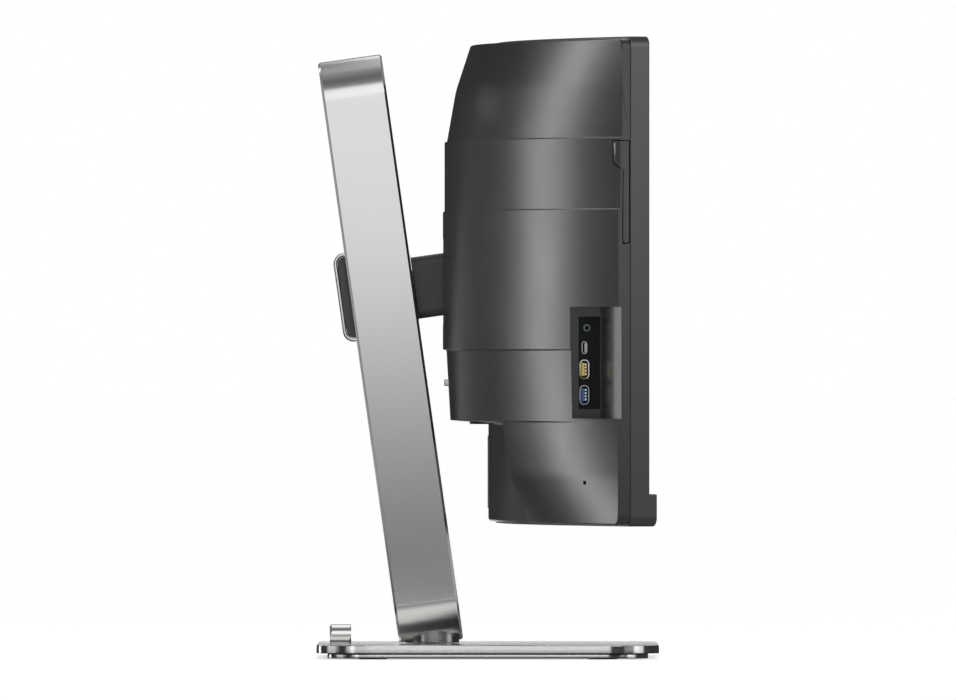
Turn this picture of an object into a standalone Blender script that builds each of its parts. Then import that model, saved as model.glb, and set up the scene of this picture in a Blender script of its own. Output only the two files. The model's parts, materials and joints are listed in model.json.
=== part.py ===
"""A 49-inch curved ultrawide desk monitor on a leaning loop-shaped column, built as separate pieces.

Metres, +Z up. The screen faces -Y and the user's right is +X. The origin is on the desk, under the
middle of the base. All curved pieces of the display are concentric about one vertical axis, and every
piece of the column is built upright in the column's own frame, which leans back.
"""

import math

import bmesh
import bpy
from mathutils import Matrix

# ---- driving dimensions ------------------------------------------------------------------------
GAP = 0.0003  # between pieces that touch

# Display, around the vertical axis that the screen is curved about.
SCREEN_RADIUS = 1.800
SCREEN_CENTRE_Y = -0.0216  # front of the glass, at the middle of the screen
CURVE_AXIS_Y = SCREEN_CENTRE_Y - SCREEN_RADIUS
HALF_ANGLE = math.radians(19.21)
ARC_STEPS = 28
DISPLAY_BOTTOM, DISPLAY_TOP = 0.1039, 0.4731
CHIN_TOP, CHIN_RADIUS = 0.1283, 1.794
SEAM_RADIUS = 1.8153  # where the bezel meets the rear cover
BEZEL_WALL = 0.0021

# Rear cover: half widths at the seam and at the rear edge of its rim.
COVER_BOTTOM, COVER_TOP = 0.1053, 0.4713
COVER_FRONT_HALF, COVER_REAR_HALF = 0.5970, 0.5950
COVER_WALL = 0.0025
COVER_END = 0.0210  # solid at each end, where the hook's pocket is
# Each row is a height, the rear surface's Y at the middle, and its Y at the ends.
COVER_ROWS = (
    (COVER_BOTTOM, -0.0016, -0.0978),
    (0.1435, 0.0188, -0.0978),
    (0.1820, 0.0275, -0.0978),
    (0.1830, 0.0288, -0.0978),
    (0.2365, 0.0318, -0.0978),
    (0.2375, 0.0346, -0.0982),
    (0.3430, 0.0346, -0.0982),
    (0.3437, 0.0333, -0.0998),
    (0.3967, 0.0333, -0.0998),
    (0.3975, 0.0314, -0.1011),
    (0.4363, 0.0246, -0.1011),
    (COVER_TOP, 0.0132, -0.1011),
)

# Connector bay: the recess across the lower middle of the rear cover, under a downward ledge.
BAY_HALF_ANGLE = math.radians(10.47)
BAY_FLOOR_RADIUS = 1.8211
LEDGE_Z, LEDGE_SLOPE = 0.1804, 0.0853

BAY_PORTS = (  # name, angle in degrees, half width, half depth
    ("ac_inlet", -5.6, 0.0135, 0.0088),
    ("hdmi_port", 3.4, 0.0076, 0.0029),
    ("displayport_socket", 4.6, 0.0082, 0.0029),
)
BAY_PORT_RADIUS = 1.8345

# Side connector pocket, on the user's left: its end wall and its ramped floor in plan, and its height.
POCKET_LOW, POCKET_HIGH = 0.1851, 0.2695
POCKET_WALL_REAR, POCKET_WALL_FRONT = (-0.5110, -0.0619), (-0.5180, -0.0856)
POCKET_RAMP, POCKET_EXIT = (-0.5660, -0.0915), (-0.6100, -0.1048)
PORT_PANEL_LOW, PORT_PANEL_HIGH = 0.1924, 0.2621
SIDE_PORT_Y = -0.0041  # from the middle of the wall towards the screen
USB_A_HEIGHTS = {"usb_a_port_lower": 0.2030, "usb_a_port_upper": 0.2223}
USB_C_HEIGHT, JACK_HEIGHT = 0.2387, 0.2537

# Base.
BASE_WIDTH, BASE_DEPTH, BASE_CORNER = 0.4200, 0.2625, 0.045
FOOT_HEIGHT, WEIGHT_LOW, WEIGHT_HIGH = 0.0020, 0.0008, 0.0043
PLATE_LOW, PLATE_HIGH = 0.0046, 0.0109
FOOT_X, FOOT_Y, FOOT_RADIUS = 0.160, 0.088, 0.011

# Column: a flat band bent into a tall closed ring, leaning back.
COLUMN_Y, COLUMN_Z = 0.0432, 0.0105
COLUMN_LEAN = math.radians(8)
LOOP_HEIGHT, LOOP_DEPTH, LOOP_HALF, LOOP_END, LOOP_WALL = 0.4555, 0.0495, 0.030, 0.034, 0.0045
HUB_Y, HUB_RADIUS, HUB_TOP, NECK_RADIUS = 0.0425, 0.0208, 0.0246, 0.009
COVER_START = 0.112  # height along the column where its two covers begin
LIFT_REST, LIFT_DOWN, LIFT_UP = 0.2732, 0.035, 0.095

# Arm and tilt hinge, along the column's forward direction.
ARM_HALF_HEIGHT, ARM_HALF_WIDTH, ARM_FRONT, ARM_WALL = 0.0238, 0.0235, 0.0580, 0.0022
BEAM_HALF_WIDTH, BEAM_HALF_HEIGHT, BEAM_BARREL = 0.0122, 0.0140, 0.0130
SOCKET_HALF_WIDTH, SOCKET_HALF_HEIGHT = 0.0280, 0.0335  # of the opening in the cover for the arm
HINGE_FORWARD, HINGE_RADIUS = 0.0600, 0.006
HINGE_Y = COLUMN_Y + LIFT_REST * math.sin(COLUMN_LEAN) - HINGE_FORWARD * math.cos(COLUMN_LEAN)
HINGE_Z = COLUMN_Z + LIFT_REST * math.cos(COLUMN_LEAN) + HINGE_FORWARD * math.sin(COLUMN_LEAN)
DRUM_BELOW, DRUM_RADIUS = 0.0565, 0.0109  # below the middle of the carriage
CAP_REAR, CAP_HALF_HEIGHT, CAP_CORNER, CAP_RIM = 0.0343, 0.0344, 0.0084, 0.0028  # behind the column

# Small controls.
KEY_RADIUS, KEY_X, KEY_PITCH, KEY_COUNT = 1.808, 0.486, 0.022, 5
HOOK_PIVOT_X, HOOK_PIVOT_Z = -0.5934, 0.3209
RELEASE_Z, RELEASE_REAR = 0.2116, 0.0335

# ---- scene -------------------------------------------------------------------------------------
for old in list(bpy.data.objects):
    bpy.data.objects.remove(old, do_unlink=True)
PARTS = bpy.data.collections.new("computer_monitor")
CUTTERS = bpy.data.collections.new("cutters")
for collection in (PARTS, CUTTERS):
    bpy.context.scene.collection.children.link(collection)


def material(name, colour, roughness, metallic=0.0):
    made = bpy.data.materials.new(name)
    made.use_nodes = True
    shader = made.node_tree.nodes["Principled BSDF"]
    shader.inputs["Base Color"].default_value = (*colour, 1.0)
    shader.inputs["Roughness"].default_value = roughness
    shader.inputs["Metallic"].default_value = metallic
    return made


SILVER = material("satin_aluminium", (0.72, 0.72, 0.70), 0.32, 1.0)
POLISHED = material("polished_metal", (0.85, 0.85, 0.85), 0.08, 1.0)
STEEL = material("zinc_plated_steel", (0.55, 0.56, 0.58), 0.35, 1.0)
SPRING_STEEL = material("spring_steel", (0.42, 0.42, 0.44), 0.28, 1.0)
COVER_PLASTIC = material("dark_grey_textured_plastic", (0.085, 0.085, 0.088), 0.48)
BEZEL_PLASTIC = material("dark_grey_bezel_plastic", (0.05, 0.05, 0.052), 0.42)
ARM_PLASTIC = material("arm_plastic", (0.07, 0.07, 0.073), 0.45)
BLACK_PLASTIC = material("black_plastic", (0.018, 0.018, 0.018), 0.5)
NYLON = material("nylon", (0.75, 0.74, 0.70), 0.5)
RUBBER = material("rubber", (0.02, 0.02, 0.02), 0.8)
GLASS = material("screen_glass", (0.004, 0.004, 0.005), 0.18)
ACRYLIC = material("acrylic_light_guide", (0.85, 0.88, 0.9), 0.1)
CIRCUIT_BOARD = material("circuit_board", (0.01, 0.11, 0.04), 0.5)
LABEL = material("label_film", (0.6, 0.6, 0.58), 0.5)
JACK_GREEN = material("jack_green", (0.1, 0.45, 0.12), 0.45)


# ---- shape helpers -----------------------------------------------------------------------------
def add(name, mesh, paint=None, parent=None):
    """An object of this mesh: a part if it has a material, and otherwise a cutter."""
    obj = bpy.data.objects.new(name, mesh)
    obj.parent = parent
    if paint is None:
        CUTTERS.objects.link(obj)
        obj.hide_render = True
        obj.display_type = "WIRE"
    else:
        PARTS.objects.link(obj)
        mesh.materials.append(paint)
    return obj


def frame(name, location, rotation=(0.0, 0.0, 0.0), parent=None):
    empty = bpy.data.objects.new(name, None)
    empty.location, empty.rotation_euler, empty.parent = location, rotation, parent
    PARTS.objects.link(empty)
    return empty


def mesh_of(name, bm):
    bmesh.ops.recalc_face_normals(bm, faces=bm.faces)
    if bm.calc_volume(signed=True) < 0:
        bmesh.ops.reverse_faces(bm, faces=bm.faces)
    mesh = bpy.data.meshes.new(name)
    bm.to_mesh(mesh)
    bm.free()
    mesh.shade_smooth()
    mesh.set_sharp_from_angle(angle=math.radians(30))
    return mesh


def box(name, low, high, paint=None, parent=None):
    size = [b - a for a, b in zip(low, high)]
    middle = [(a + b) / 2 for a, b in zip(low, high)]
    bm = bmesh.new()
    bmesh.ops.create_cube(bm, size=1.0, matrix=Matrix.Translation(middle) @ Matrix.Diagonal((*size, 1.0)))
    return add(name, mesh_of(name, bm), paint, parent)


def cylinder(name, radius, low, high, centre, along="Z", paint=None, parent=None, sides=32):
    """A cylinder between two places along an axis; centre holds the other two coordinates."""
    quarter, middle = math.pi / 2, (low + high) / 2
    turn = {"Z": Matrix(), "X": Matrix.Rotation(quarter, 4, "Y"), "Y": Matrix.Rotation(quarter, 4, "X")}
    place = {"Z": (*centre, middle), "X": (middle, *centre), "Y": (centre[0], middle, centre[1])}[along]
    bm = bmesh.new()
    bmesh.ops.create_cone(
        bm,
        cap_ends=True,
        segments=sides,
        radius1=radius,
        radius2=radius,
        depth=high - low,
        matrix=Matrix.Translation(place) @ turn[along],
    )
    return add(name, mesh_of(name, bm), paint, parent)


def flat_solid(name, outlines, low, high, plane="XY", paint=None, parent=None):
    """Closed 2D outlines, the later ones holes in the first, filled and given a thickness."""
    curve = bpy.data.curves.new(name, "CURVE")
    curve.dimensions, curve.fill_mode, curve.extrude = "2D", "BOTH", (high - low) / 2
    for outline in outlines:
        spline = curve.splines.new("POLY")
        spline.points.add(len(outline) - 1)
        spline.use_cyclic_u = True
        for point, (a, b) in zip(spline.points, outline):
            point.co = (a, b, 0.0, 1.0)
    drawn = bpy.data.objects.new(name, curve)
    CUTTERS.objects.link(drawn)
    graph = bpy.context.evaluated_depsgraph_get()
    bm = bmesh.new()
    bm.from_mesh(bpy.data.meshes.new_from_object(drawn.evaluated_get(graph)))
    bpy.data.objects.remove(drawn, do_unlink=True)
    bmesh.ops.remove_doubles(bm, verts=bm.verts, dist=1e-6)
    middle = (low + high) / 2
    for vertex in bm.verts:
        a, b, t = vertex.co.x, vertex.co.y, vertex.co.z + middle
        vertex.co = {"XY": (a, b, t), "XZ": (a, t, b), "YZ": (t, a, b)}[plane]
    return add(name, mesh_of(name, bm), paint, parent)


def loft(name, sections, paint=None, parent=None):
    """A closed skin over closed sections that have the same number of points."""
    bm = bmesh.new()
    rings = [[bm.verts.new(point) for point in section] for section in sections]
    for one, two in zip(rings, rings[1:]):
        for i in range(len(one)):
            j = (i + 1) % len(one)
            bm.faces.new((one[i], one[j], two[j], two[i]))
    bm.faces.new(rings[0])
    bm.faces.new(rings[-1])
    return add(name, mesh_of(name, bm), paint, parent)


def turned(name, profile, centre, paint=None, closed=False, sides=32, parent=None, rotation=(0, 0, 0)):
    """A profile of (radius, height) points, from top to bottom down its outer side, turned about Z."""
    bm = bmesh.new()
    points = [bm.verts.new((radius, 0.0, height)) for radius, height in profile]
    for one, two in zip(points, points[1:] + points[:1] if closed else points[1:]):
        bm.edges.new((one, two))
    mesh = bpy.data.meshes.new(name)
    bm.to_mesh(mesh)
    bm.free()
    obj = add(name, mesh, paint, parent)
    obj.location, obj.rotation_euler = centre, rotation
    screw = obj.modifiers.new("turn", "SCREW")
    screw.steps = screw.render_steps = sides
    screw.use_merge_vertices, screw.merge_threshold = True, 0.00001
    return obj


def boolean(obj, *others, operation="DIFFERENCE"):
    for other in others:
        step = obj.modifiers.new(other.name, "BOOLEAN")
        step.operation, step.object = operation, other
    return obj


def bevel(obj, width, segments=2):
    step = obj.modifiers.new("edges", "BEVEL")
    step.width, step.segments, step.limit_method = width, segments, "ANGLE"
    step.angle_limit = math.radians(40)
    return obj


def polar(radius, angle):
    """A plan point at this radius from the display's axis; angle 0 is the middle of the screen."""
    return radius * math.sin(angle), CURVE_AXIS_Y + radius * math.cos(angle)


def tangent_frame(name, radius, angle, height):
    """A frame on the display's curve, whose -Y points at the axis."""
    x, y = polar(radius, angle)
    return frame(name, (x, y, height), (0.0, 0.0, -angle))


def swept(name, profile, half_angle=HALF_ANGLE, paint=None, steps=ARC_STEPS):
    """A closed (radius, height) profile swept along the display's curve."""
    angles = [half_angle * (2 * i / steps - 1) for i in range(steps + 1)]
    return loft(name, [[(*polar(r, angle), z) for r, z in profile] for angle in angles], paint)


def slab(name, near, far, low, high, half_angle=HALF_ANGLE, paint=None, steps=ARC_STEPS):
    return swept(name, ((near, low), (near, high), (far, high), (far, low)), half_angle, paint, steps)


def arc(centre, radii, start, end, steps):
    """Points of an arc or part of an ellipse, angles in degrees."""
    turns = [math.radians(start + (end - start) * i / steps) for i in range(steps + 1)]
    return [(centre[0] + radii[0] * math.cos(t), centre[1] + radii[1] * math.sin(t)) for t in turns]


def rounded_rectangle(half_width, half_height, corner, steps=8, centre=(0.0, 0.0)):
    points = []
    for turn, (sx, sy) in enumerate(((1, 1), (-1, 1), (-1, -1), (1, -1))):
        middle = (centre[0] + sx * (half_width - corner), centre[1] + sy * (half_height - corner))
        points += arc(middle, (corner, corner), 90 * turn, 90 * turn + 90, steps)
    return points


def ring_outline(inset, steps=14):
    """The column's outline seen from the front, moved inwards: straight sides and elliptical ends."""
    radii = (LOOP_HALF - inset, LOOP_END - inset)
    lower = arc((0.0, LOOP_END), radii, 180, 360, steps)
    return lower + arc((0.0, LOOP_HEIGHT - LOOP_END), radii, 0, 180, steps)


def cover_point(x, row):
    """A point of the rear cover's outside: at each height the plan is an arc from end to end."""
    height, middle, end = row
    sagitta = middle - end
    radius = (COVER_REAR_HALF**2 + sagitta**2) / (2 * sagitta)
    return x, middle - radius + math.sqrt(radius**2 - x**2), height


def cover_body(name, inset, paint=None):
    """The space that the rear cover fills, or its inside when inset by the wall.

    Each end is one flat face, which outside is a little wider at the seam than at the rear edge.
    """
    front = SEAM_RADIUS + GAP - (0.002 if inset else 0.0)
    rear_half = COVER_REAR_HALF - (COVER_END if inset else 0.0)
    front_half = rear_half if inset else COVER_FRONT_HALF
    rear_end = COVER_ROWS[0][2]
    seam_end = CURVE_AXIS_Y + math.sqrt(front**2 - COVER_FRONT_HALF**2)
    flare = (front_half - rear_half) / (rear_end - seam_end)
    rows = [list(row) for row in COVER_ROWS]
    rows[0][0] += inset
    rows[-1][0] -= inset
    sections = []
    for i in range(ARC_STEPS + 1):
        along = 2 * i / ARC_STEPS - 1
        front_x = along * front_half
        front_y = CURVE_AXIS_Y + math.sqrt(front**2 - front_x**2)
        least_y = front_y + (0.002 if inset else 0.003)
        section = [(front_x, front_y, rows[0][0])]
        for row in rows:
            x, y, z = cover_point(along * rear_half, row)
            section.append((x + along * flare * (rear_end - row[2]), max(y - inset, least_y), z))
        sections.append([*section, (front_x, front_y, rows[-1][0])])
    return loft(name, sections, paint)


# ---- display: screen and bezel -----------------------------------------------------------------
def build_bezel():
    chamfer = 0.0012
    outside = (
        (CHIN_RADIUS, DISPLAY_BOTTOM + chamfer),
        (CHIN_RADIUS, CHIN_TOP - chamfer),
        (CHIN_RADIUS + chamfer, CHIN_TOP),
        (SCREEN_RADIUS, CHIN_TOP),
        (SCREEN_RADIUS, DISPLAY_TOP - chamfer),
        (SCREEN_RADIUS + chamfer, DISPLAY_TOP),
        (SEAM_RADIUS, DISPLAY_TOP),
        (SEAM_RADIUS, DISPLAY_BOTTOM),
        (CHIN_RADIUS + chamfer, DISPLAY_BOTTOM),
    )
    behind_chin = CHIN_RADIUS + 0.0025
    inside = (
        (CHIN_RADIUS - 0.004, CHIN_TOP),
        (CHIN_RADIUS - 0.004, DISPLAY_TOP - BEZEL_WALL),
        (SEAM_RADIUS + 0.001, DISPLAY_TOP - BEZEL_WALL),
        (SEAM_RADIUS + 0.001, DISPLAY_BOTTOM + BEZEL_WALL),
        (behind_chin, DISPLAY_BOTTOM + BEZEL_WALL),
        (behind_chin, CHIN_TOP - 0.002),
        (SCREEN_RADIUS + 0.002, CHIN_TOP - 0.002),
        (SCREEN_RADIUS + 0.002, CHIN_TOP),
    )
    bezel = swept("front_bezel", outside, paint=BEZEL_PLASTIC)
    wall_angle = BEZEL_WALL / SCREEN_RADIUS
    boolean(bezel, swept("bezel_inside", inside, HALF_ANGLE - wall_angle))
    for number in range(KEY_COUNT):
        where = key_frame(number, "key_hole_frame")
        low, high = (-0.0056, -0.0024, -0.004), (0.0056, 0.0024, 0.006)
        boolean(bezel, box(f"key_hole_{number + 1}", low, high, parent=where))


def build_screen():
    inner_angle = HALF_ANGLE - (BEZEL_WALL + GAP) / SCREEN_RADIUS
    low, high = CHIN_TOP + GAP, DISPLAY_TOP - BEZEL_WALL - GAP
    glass, guide, pan = SCREEN_RADIUS + 0.0006, SCREEN_RADIUS + 0.0027, SCREEN_RADIUS + 0.0056
    slab("lcd_panel", glass, glass + 0.0018, low, high, inner_angle, GLASS)
    slab("light_guide", guide, guide + 0.0025, low + 0.0030, high - 0.001, inner_angle - 0.001, ACRYLIC)
    slab("led_strip", guide, guide + 0.0023, low + 0.0005, low + 0.0026, inner_angle - 0.001, STEEL)
    slab("rear_chassis", pan, pan + 0.0012, 0.1095, high - 0.0005, inner_angle - 0.0005, STEEL)


def key_frame(number, name):
    angle = math.asin((KEY_X + number * KEY_PITCH) / KEY_RADIUS)
    return tangent_frame(f"{name}_{number + 1}", KEY_RADIUS, angle, DISPLAY_BOTTOM)


def build_keys():
    """Menu keys through the underside of the bezel, each held in by a wider head above its hole."""
    stem, head = 0.0050, 0.0068
    below, neck, top = -0.0011, BEZEL_WALL + GAP, 0.0040
    half = ((stem, below), (stem, neck), (head, neck), (head, top))
    outline = [*half, *((-x, z) for x, z in reversed(half))]
    for number in range(KEY_COUNT):
        where = key_frame(number, "key_axis")
        flat_solid(f"menu_key_{number + 1}", [outline], -0.0019, 0.0019, "XZ", BLACK_PLASTIC, where)


# ---- display: rear cover -----------------------------------------------------------------------
def bay_cutter(name, grow):
    low = COVER_BOTTOM - (0.01 if not grow else 0.02)
    near, far = BAY_FLOOR_RADIUS - grow, 1.90
    cutter = slab(name, near, far, low, LEDGE_Z, BAY_HALF_ANGLE + grow / SCREEN_RADIUS)
    for vertex in cutter.data.vertices:
        if vertex.co.z > COVER_BOTTOM:
            radius = math.hypot(vertex.co.x, vertex.co.y - CURVE_AXIS_Y)
            vertex.co.z = LEDGE_Z + LEDGE_SLOPE * (radius - BAY_FLOOR_RADIUS) + grow
    return cutter


def pocket_cutter(name, grow):
    """The side pocket in plan: its end wall, its ramped floor, and open space behind the cover."""
    (rx, ry), (fx, fy), (mx, my), (ex, ey) = POCKET_WALL_REAR, POCKET_WALL_FRONT, POCKET_RAMP, POCKET_EXIT
    slope = (rx - fx) / (ry - fy)
    behind = -0.030
    outline = [(rx + slope * (behind - ry) + grow, behind), (fx + grow, fy - grow), (mx, my - grow)]
    outline += [(ex, ey - grow), (ex, behind)]
    return flat_solid(name, [outline], POCKET_LOW - grow, POCKET_HIGH + grow)


def pocket_tub(name):
    """The deep end of the pocket's floor, which bulges forwards past the cover's open front."""
    (fx, fy), (mx, my), wall = POCKET_WALL_FRONT, POCKET_RAMP, 0.0022
    share = 0.6
    end_x, end_y = fx + share * (mx - fx), fy + share * (my - fy)
    near_x = fx + 0.0019
    outline = [(near_x, fy + 0.009), (near_x, fy - wall), (end_x, end_y - wall), (end_x, end_y + 0.006)]
    return flat_solid(name, [outline], POCKET_LOW - 0.0018, POCKET_HIGH + 0.0018)


def hook_prism(name, grow, deeper):
    """The headset hook's outline along X, with an inner face that follows the cover's corner."""
    front, mid, rear = -0.1067 - grow, -0.1018 + grow, -0.0945 + grow
    low, neck, shoulder, top = 0.3175 - grow, 0.3720, 0.3784 - grow, 0.3943 + grow
    end = (mid - front) / 2
    outline = arc(((front + mid) / 2, low + end), (end, end), 180, 360, 6)
    outline += [(mid, neck), (rear, shoulder), (rear, top), (front, top)]
    prism = flat_solid(name, [outline], -0.62, -0.58, "YZ")
    for vertex in prism.data.vertices:
        if vertex.co.x > -0.60:
            vertex.co.x = -0.5900 + deeper + 0.98 * (vertex.co.y + 0.1067)
    return prism


def slot_row(name, places, size):
    """Cutter boxes, one for each (radius, angle, height)."""
    bm = bmesh.new()
    for radius, angle, height in places:
        x, y = polar(radius, angle)
        turn = Matrix.Translation((x, y, height)) @ Matrix.Rotation(-angle, 4, "Z")
        bmesh.ops.create_cube(bm, size=1.0, matrix=turn @ Matrix.Diagonal((*size, 1.0)))
    return add(name, mesh_of(name, bm))


def lock_frame(name):
    """On the cover's surface, at the security slot; its Y points out of the surface."""
    x, z = -0.528, 0.1367
    rows = sorted(COVER_ROWS)
    share = (z - rows[0][0]) / (rows[1][0] - rows[0][0])
    row = [a + share * (b - a) for a, b in zip(rows[0], rows[1])]
    _, y, _ = cover_point(x, row)
    slope = (cover_point(x + 0.001, row)[1] - y) / 0.001
    return frame(name, (x, y, z), (0.0, 0.0, math.atan(slope)))


def build_rear_cover():
    cover = cover_body("rear_cover", 0.0, COVER_PLASTIC)
    inside = cover_body("cover_inside", COVER_WALL)
    grow, half_x, half_z = COVER_WALL, SOCKET_HALF_WIDTH, SOCKET_HALF_HEIGHT
    socket = box("stand_socket", (-half_x, -0.012, HINGE_Z - half_z), (half_x, 0.05, HINGE_Z + half_z))
    half_x, half_z = half_x + grow, half_z + grow
    around = box("socket_outside", (-half_x, -0.003, HINGE_Z - half_z), (half_x, 0.05, HINGE_Z + half_z))
    boolean(inside, bay_cutter("bay_outside", grow), pocket_cutter("pocket_outside", grow), around)
    pivot = (HOOK_PIVOT_X, HOOK_PIVOT_Z)
    pivot_space = cylinder("hook_pivot_space", 0.0049, -0.1073, -0.1015, pivot, "Y", sides=16)
    where = lock_frame("lock_slot_frame")
    lock_slot = box("lock_slot", (-0.0035, -0.01, -0.0015), (0.0035, 0.01, 0.0015), parent=where)
    release_slot = box("release_slot", (-0.0104, 0.015, RELEASE_Z - 0.0029), (0.0104, 0.05, RELEASE_Z + 0.0058))
    boolean(cover, inside, hook_prism("hook_pocket", 0.0007, 0.0008), pivot_space, lock_slot)
    boolean(cover, bay_cutter("bay", 0.0), socket, release_slot)
    for name, angle, half_x, half_y in BAY_PORTS:
        where = tangent_frame(f"{name}_hole_frame", BAY_PORT_RADIUS, math.radians(angle), LEDGE_Z)
        low = (-half_x - GAP, -half_y - GAP, -0.004)
        boolean(cover, box(f"{name}_hole", low, (half_x + GAP, half_y + GAP, 0.0052), parent=where))
    step = math.radians(0.95)
    vents = [(1.8245, side * step * (1.5 + i), COVER_TOP) for side in (-1, 1) for i in range(8)]
    boolean(cover, slot_row("top_vents", vents, (0.024, 0.0035, 0.012)))
    low_vents = [(1.8330, side * step * (8.2 + 0.9 * i), LEDGE_Z) for side in (-1, 1) for i in range(3)]
    boolean(cover, slot_row("ledge_vents", low_vents, (0.022, 0.0035, 0.014)))
    boolean(cover, pocket_tub("pocket_tub"), operation="UNION")
    boolean(cover, pocket_cutter("pocket", 0.0), port_window("port_window"))


def build_bay():
    for name, angle, half_x, half_y in BAY_PORTS:
        where = tangent_frame(f"{name}_frame", BAY_PORT_RADIUS, math.radians(angle), LEDGE_Z)
        paint = BLACK_PLASTIC if name == "ac_inlet" else STEEL
        wall = 0.0018 if name == "ac_inlet" else 0.0007
        depth = 0.017 if name == "ac_inlet" else 0.010
        body = box(name, (-half_x, -half_y, 0.0004), (half_x, half_y, depth + 0.003), paint, where)
        low = (-half_x + wall, -half_y + wall, -0.001)
        boolean(body, box(f"{name}_cavity", low, (half_x - wall, half_y - wall, depth), parent=where))
    slab("rating_label", BAY_FLOOR_RADIUS + GAP, BAY_FLOOR_RADIUS + 0.0006, 0.1154, 0.1709, 0.035, LABEL, 4)


# ---- display: side connectors ------------------------------------------------------------------
def port_frame(name):
    """On the pocket's end wall: X points out of the wall and Y towards the screen."""
    (rx, ry), (fx, fy) = POCKET_WALL_REAR, POCKET_WALL_FRONT
    y = -0.0770
    x = fx + (rx - fx) * (y - fy) / (ry - fy)
    turn = math.pi - math.atan2(rx - fx, ry - fy)
    return frame(name, (x, y, 0.0), (0.0, 0.0, turn))


def port_window(name):
    low, high = (-0.006, -0.0088, PORT_PANEL_LOW), (0.002, 0.0081, PORT_PANEL_HIGH)
    return box(name, low, high, parent=port_frame(f"{name}_frame"))


def build_side_ports():
    where = port_frame("port_frame")
    low = (-0.0024, -0.0088 + GAP, PORT_PANEL_LOW + GAP)
    high = (-0.0004, 0.0081 - GAP, PORT_PANEL_HIGH - GAP)
    panel = box("side_port_panel", low, high, BLACK_PLASTIC, where)
    for name, z in USB_A_HEIGHTS.items():
        outline = rounded_rectangle(0.0038, 0.0074, 0.0012, 3, (SIDE_PORT_Y, z))
        cavity = rounded_rectangle(0.0033, 0.0069, 0.0008, 2, (SIDE_PORT_Y, z))
        hole = rounded_rectangle(0.0041, 0.0077, 0.0014, 3, (SIDE_PORT_Y, z))
        shell = flat_solid(name, [outline], -0.0120, 0.0002, "YZ", STEEL, where)
        space = flat_solid(f"{name}_cavity", [cavity], -0.0108, 0.0010, "YZ", parent=where)
        y = SIDE_PORT_Y - 0.0015
        low, high = (-0.0112, y - 0.0009, z - 0.0055), (-0.001, y + 0.0009, z + 0.0055)
        tongue = box(f"{name}_tongue", low, high, parent=where)
        boolean(shell, space)
        boolean(shell, tongue, operation="UNION")
        boolean(panel, flat_solid(f"{name}_hole", [hole], -0.003, 0.001, "YZ", parent=where))
    outline = rounded_rectangle(0.00205, 0.0047, 0.0020, 4, (SIDE_PORT_Y, USB_C_HEIGHT))
    cavity = rounded_rectangle(0.00165, 0.0043, 0.0016, 4, (SIDE_PORT_Y, USB_C_HEIGHT))
    hole = rounded_rectangle(0.00235, 0.0050, 0.0023, 4, (SIDE_PORT_Y, USB_C_HEIGHT))
    shell = flat_solid("usb_c_port", [outline], -0.0100, 0.0002, "YZ", STEEL, where)
    boolean(shell, flat_solid("usb_c_port_cavity", [cavity], -0.0088, 0.0010, "YZ", parent=where))
    y, z = SIDE_PORT_Y, USB_C_HEIGHT
    low, high = (-0.0094, y - 0.0004, z - 0.0033), (-0.0012, y + 0.0004, z + 0.0033)
    tongue = box("usb_c_port_tongue", low, high, parent=where)
    boolean(shell, tongue, operation="UNION")
    boolean(panel, flat_solid("usb_c_port_hole", [hole], -0.003, 0.001, "YZ", parent=where))
    middle = (SIDE_PORT_Y + 0.0018, JACK_HEIGHT)
    jack = cylinder("audio_jack", 0.0030, -0.0120, 0.0003, middle, "X", JACK_GREEN, where, 20)
    boolean(jack, cylinder("audio_jack_bore", 0.00175, -0.0105, 0.0010, middle, "X", parent=where, sides=16))
    boolean(panel, cylinder("audio_jack_hole", 0.0033, -0.003, 0.001, middle, "X", parent=where, sides=20))
    box("side_port_board", (-0.0142, -0.0120, 0.1930), (-0.0126, -0.0005, 0.2610), CIRCUIT_BOARD, where)


# ---- display: inside ---------------------------------------------------------------------------
def build_electronics():
    for name, angle, block in (
        ("main_board", 4.9, ((-0.030, 0.0010, 0.060), (0.012, 0.0075, 0.096))),
        ("power_board", -5.4, ((-0.012, 0.0010, 0.040), (0.024, 0.0155, 0.074))),
    ):
        where = tangent_frame(f"{name}_frame", 1.8215, math.radians(angle), LEDGE_Z + 0.012)
        board = box(name, (-0.070, 0.0, 0.0), (0.070, 0.0016, 0.110), CIRCUIT_BOARD, where)
        boolean(board, box(f"{name}_block", *block, parent=where), operation="UNION")
    for name, angle in (("speaker_left", -13.4), ("speaker_right", 13.4)):
        where = tangent_frame(f"{name}_frame", 1.8088, math.radians(angle), 0.0)
        box(name, (-0.050, 0.0, 0.1330), (0.050, 0.0140, 0.1640), BLACK_PLASTIC, where)


def build_tilt_bracket():
    """A steel plate on the chassis, and a bracket on it whose two ears turn on the tilt shaft."""
    box("mount_plate", (-0.055, -0.0062, HINGE_Z - 0.050), (0.055, -0.0036, HINGE_Z + 0.050), STEEL)
    low, high = (-0.024, -0.0033, HINGE_Z - 0.026), (0.024, -0.0008, HINGE_Z + 0.026)
    bracket = box("tilt_bracket", low, high, STEEL)
    half, eye = 0.016, 0.0100
    outline = [(-0.002, HINGE_Z + half), (-0.002, HINGE_Z - half)]
    outline += arc((HINGE_Y, HINGE_Z), (eye, eye), -75, 75, 10)
    for side, low, high in (("left", -0.018, -0.014), ("right", 0.014, 0.018)):
        boolean(bracket, flat_solid(f"ear_{side}", [outline], low, high, "YZ"), operation="UNION")
    hole = cylinder("ear_holes", HINGE_RADIUS + GAP, -0.03, 0.03, (HINGE_Y, HINGE_Z), "X", sides=24)
    boolean(bracket, hole)


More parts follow.
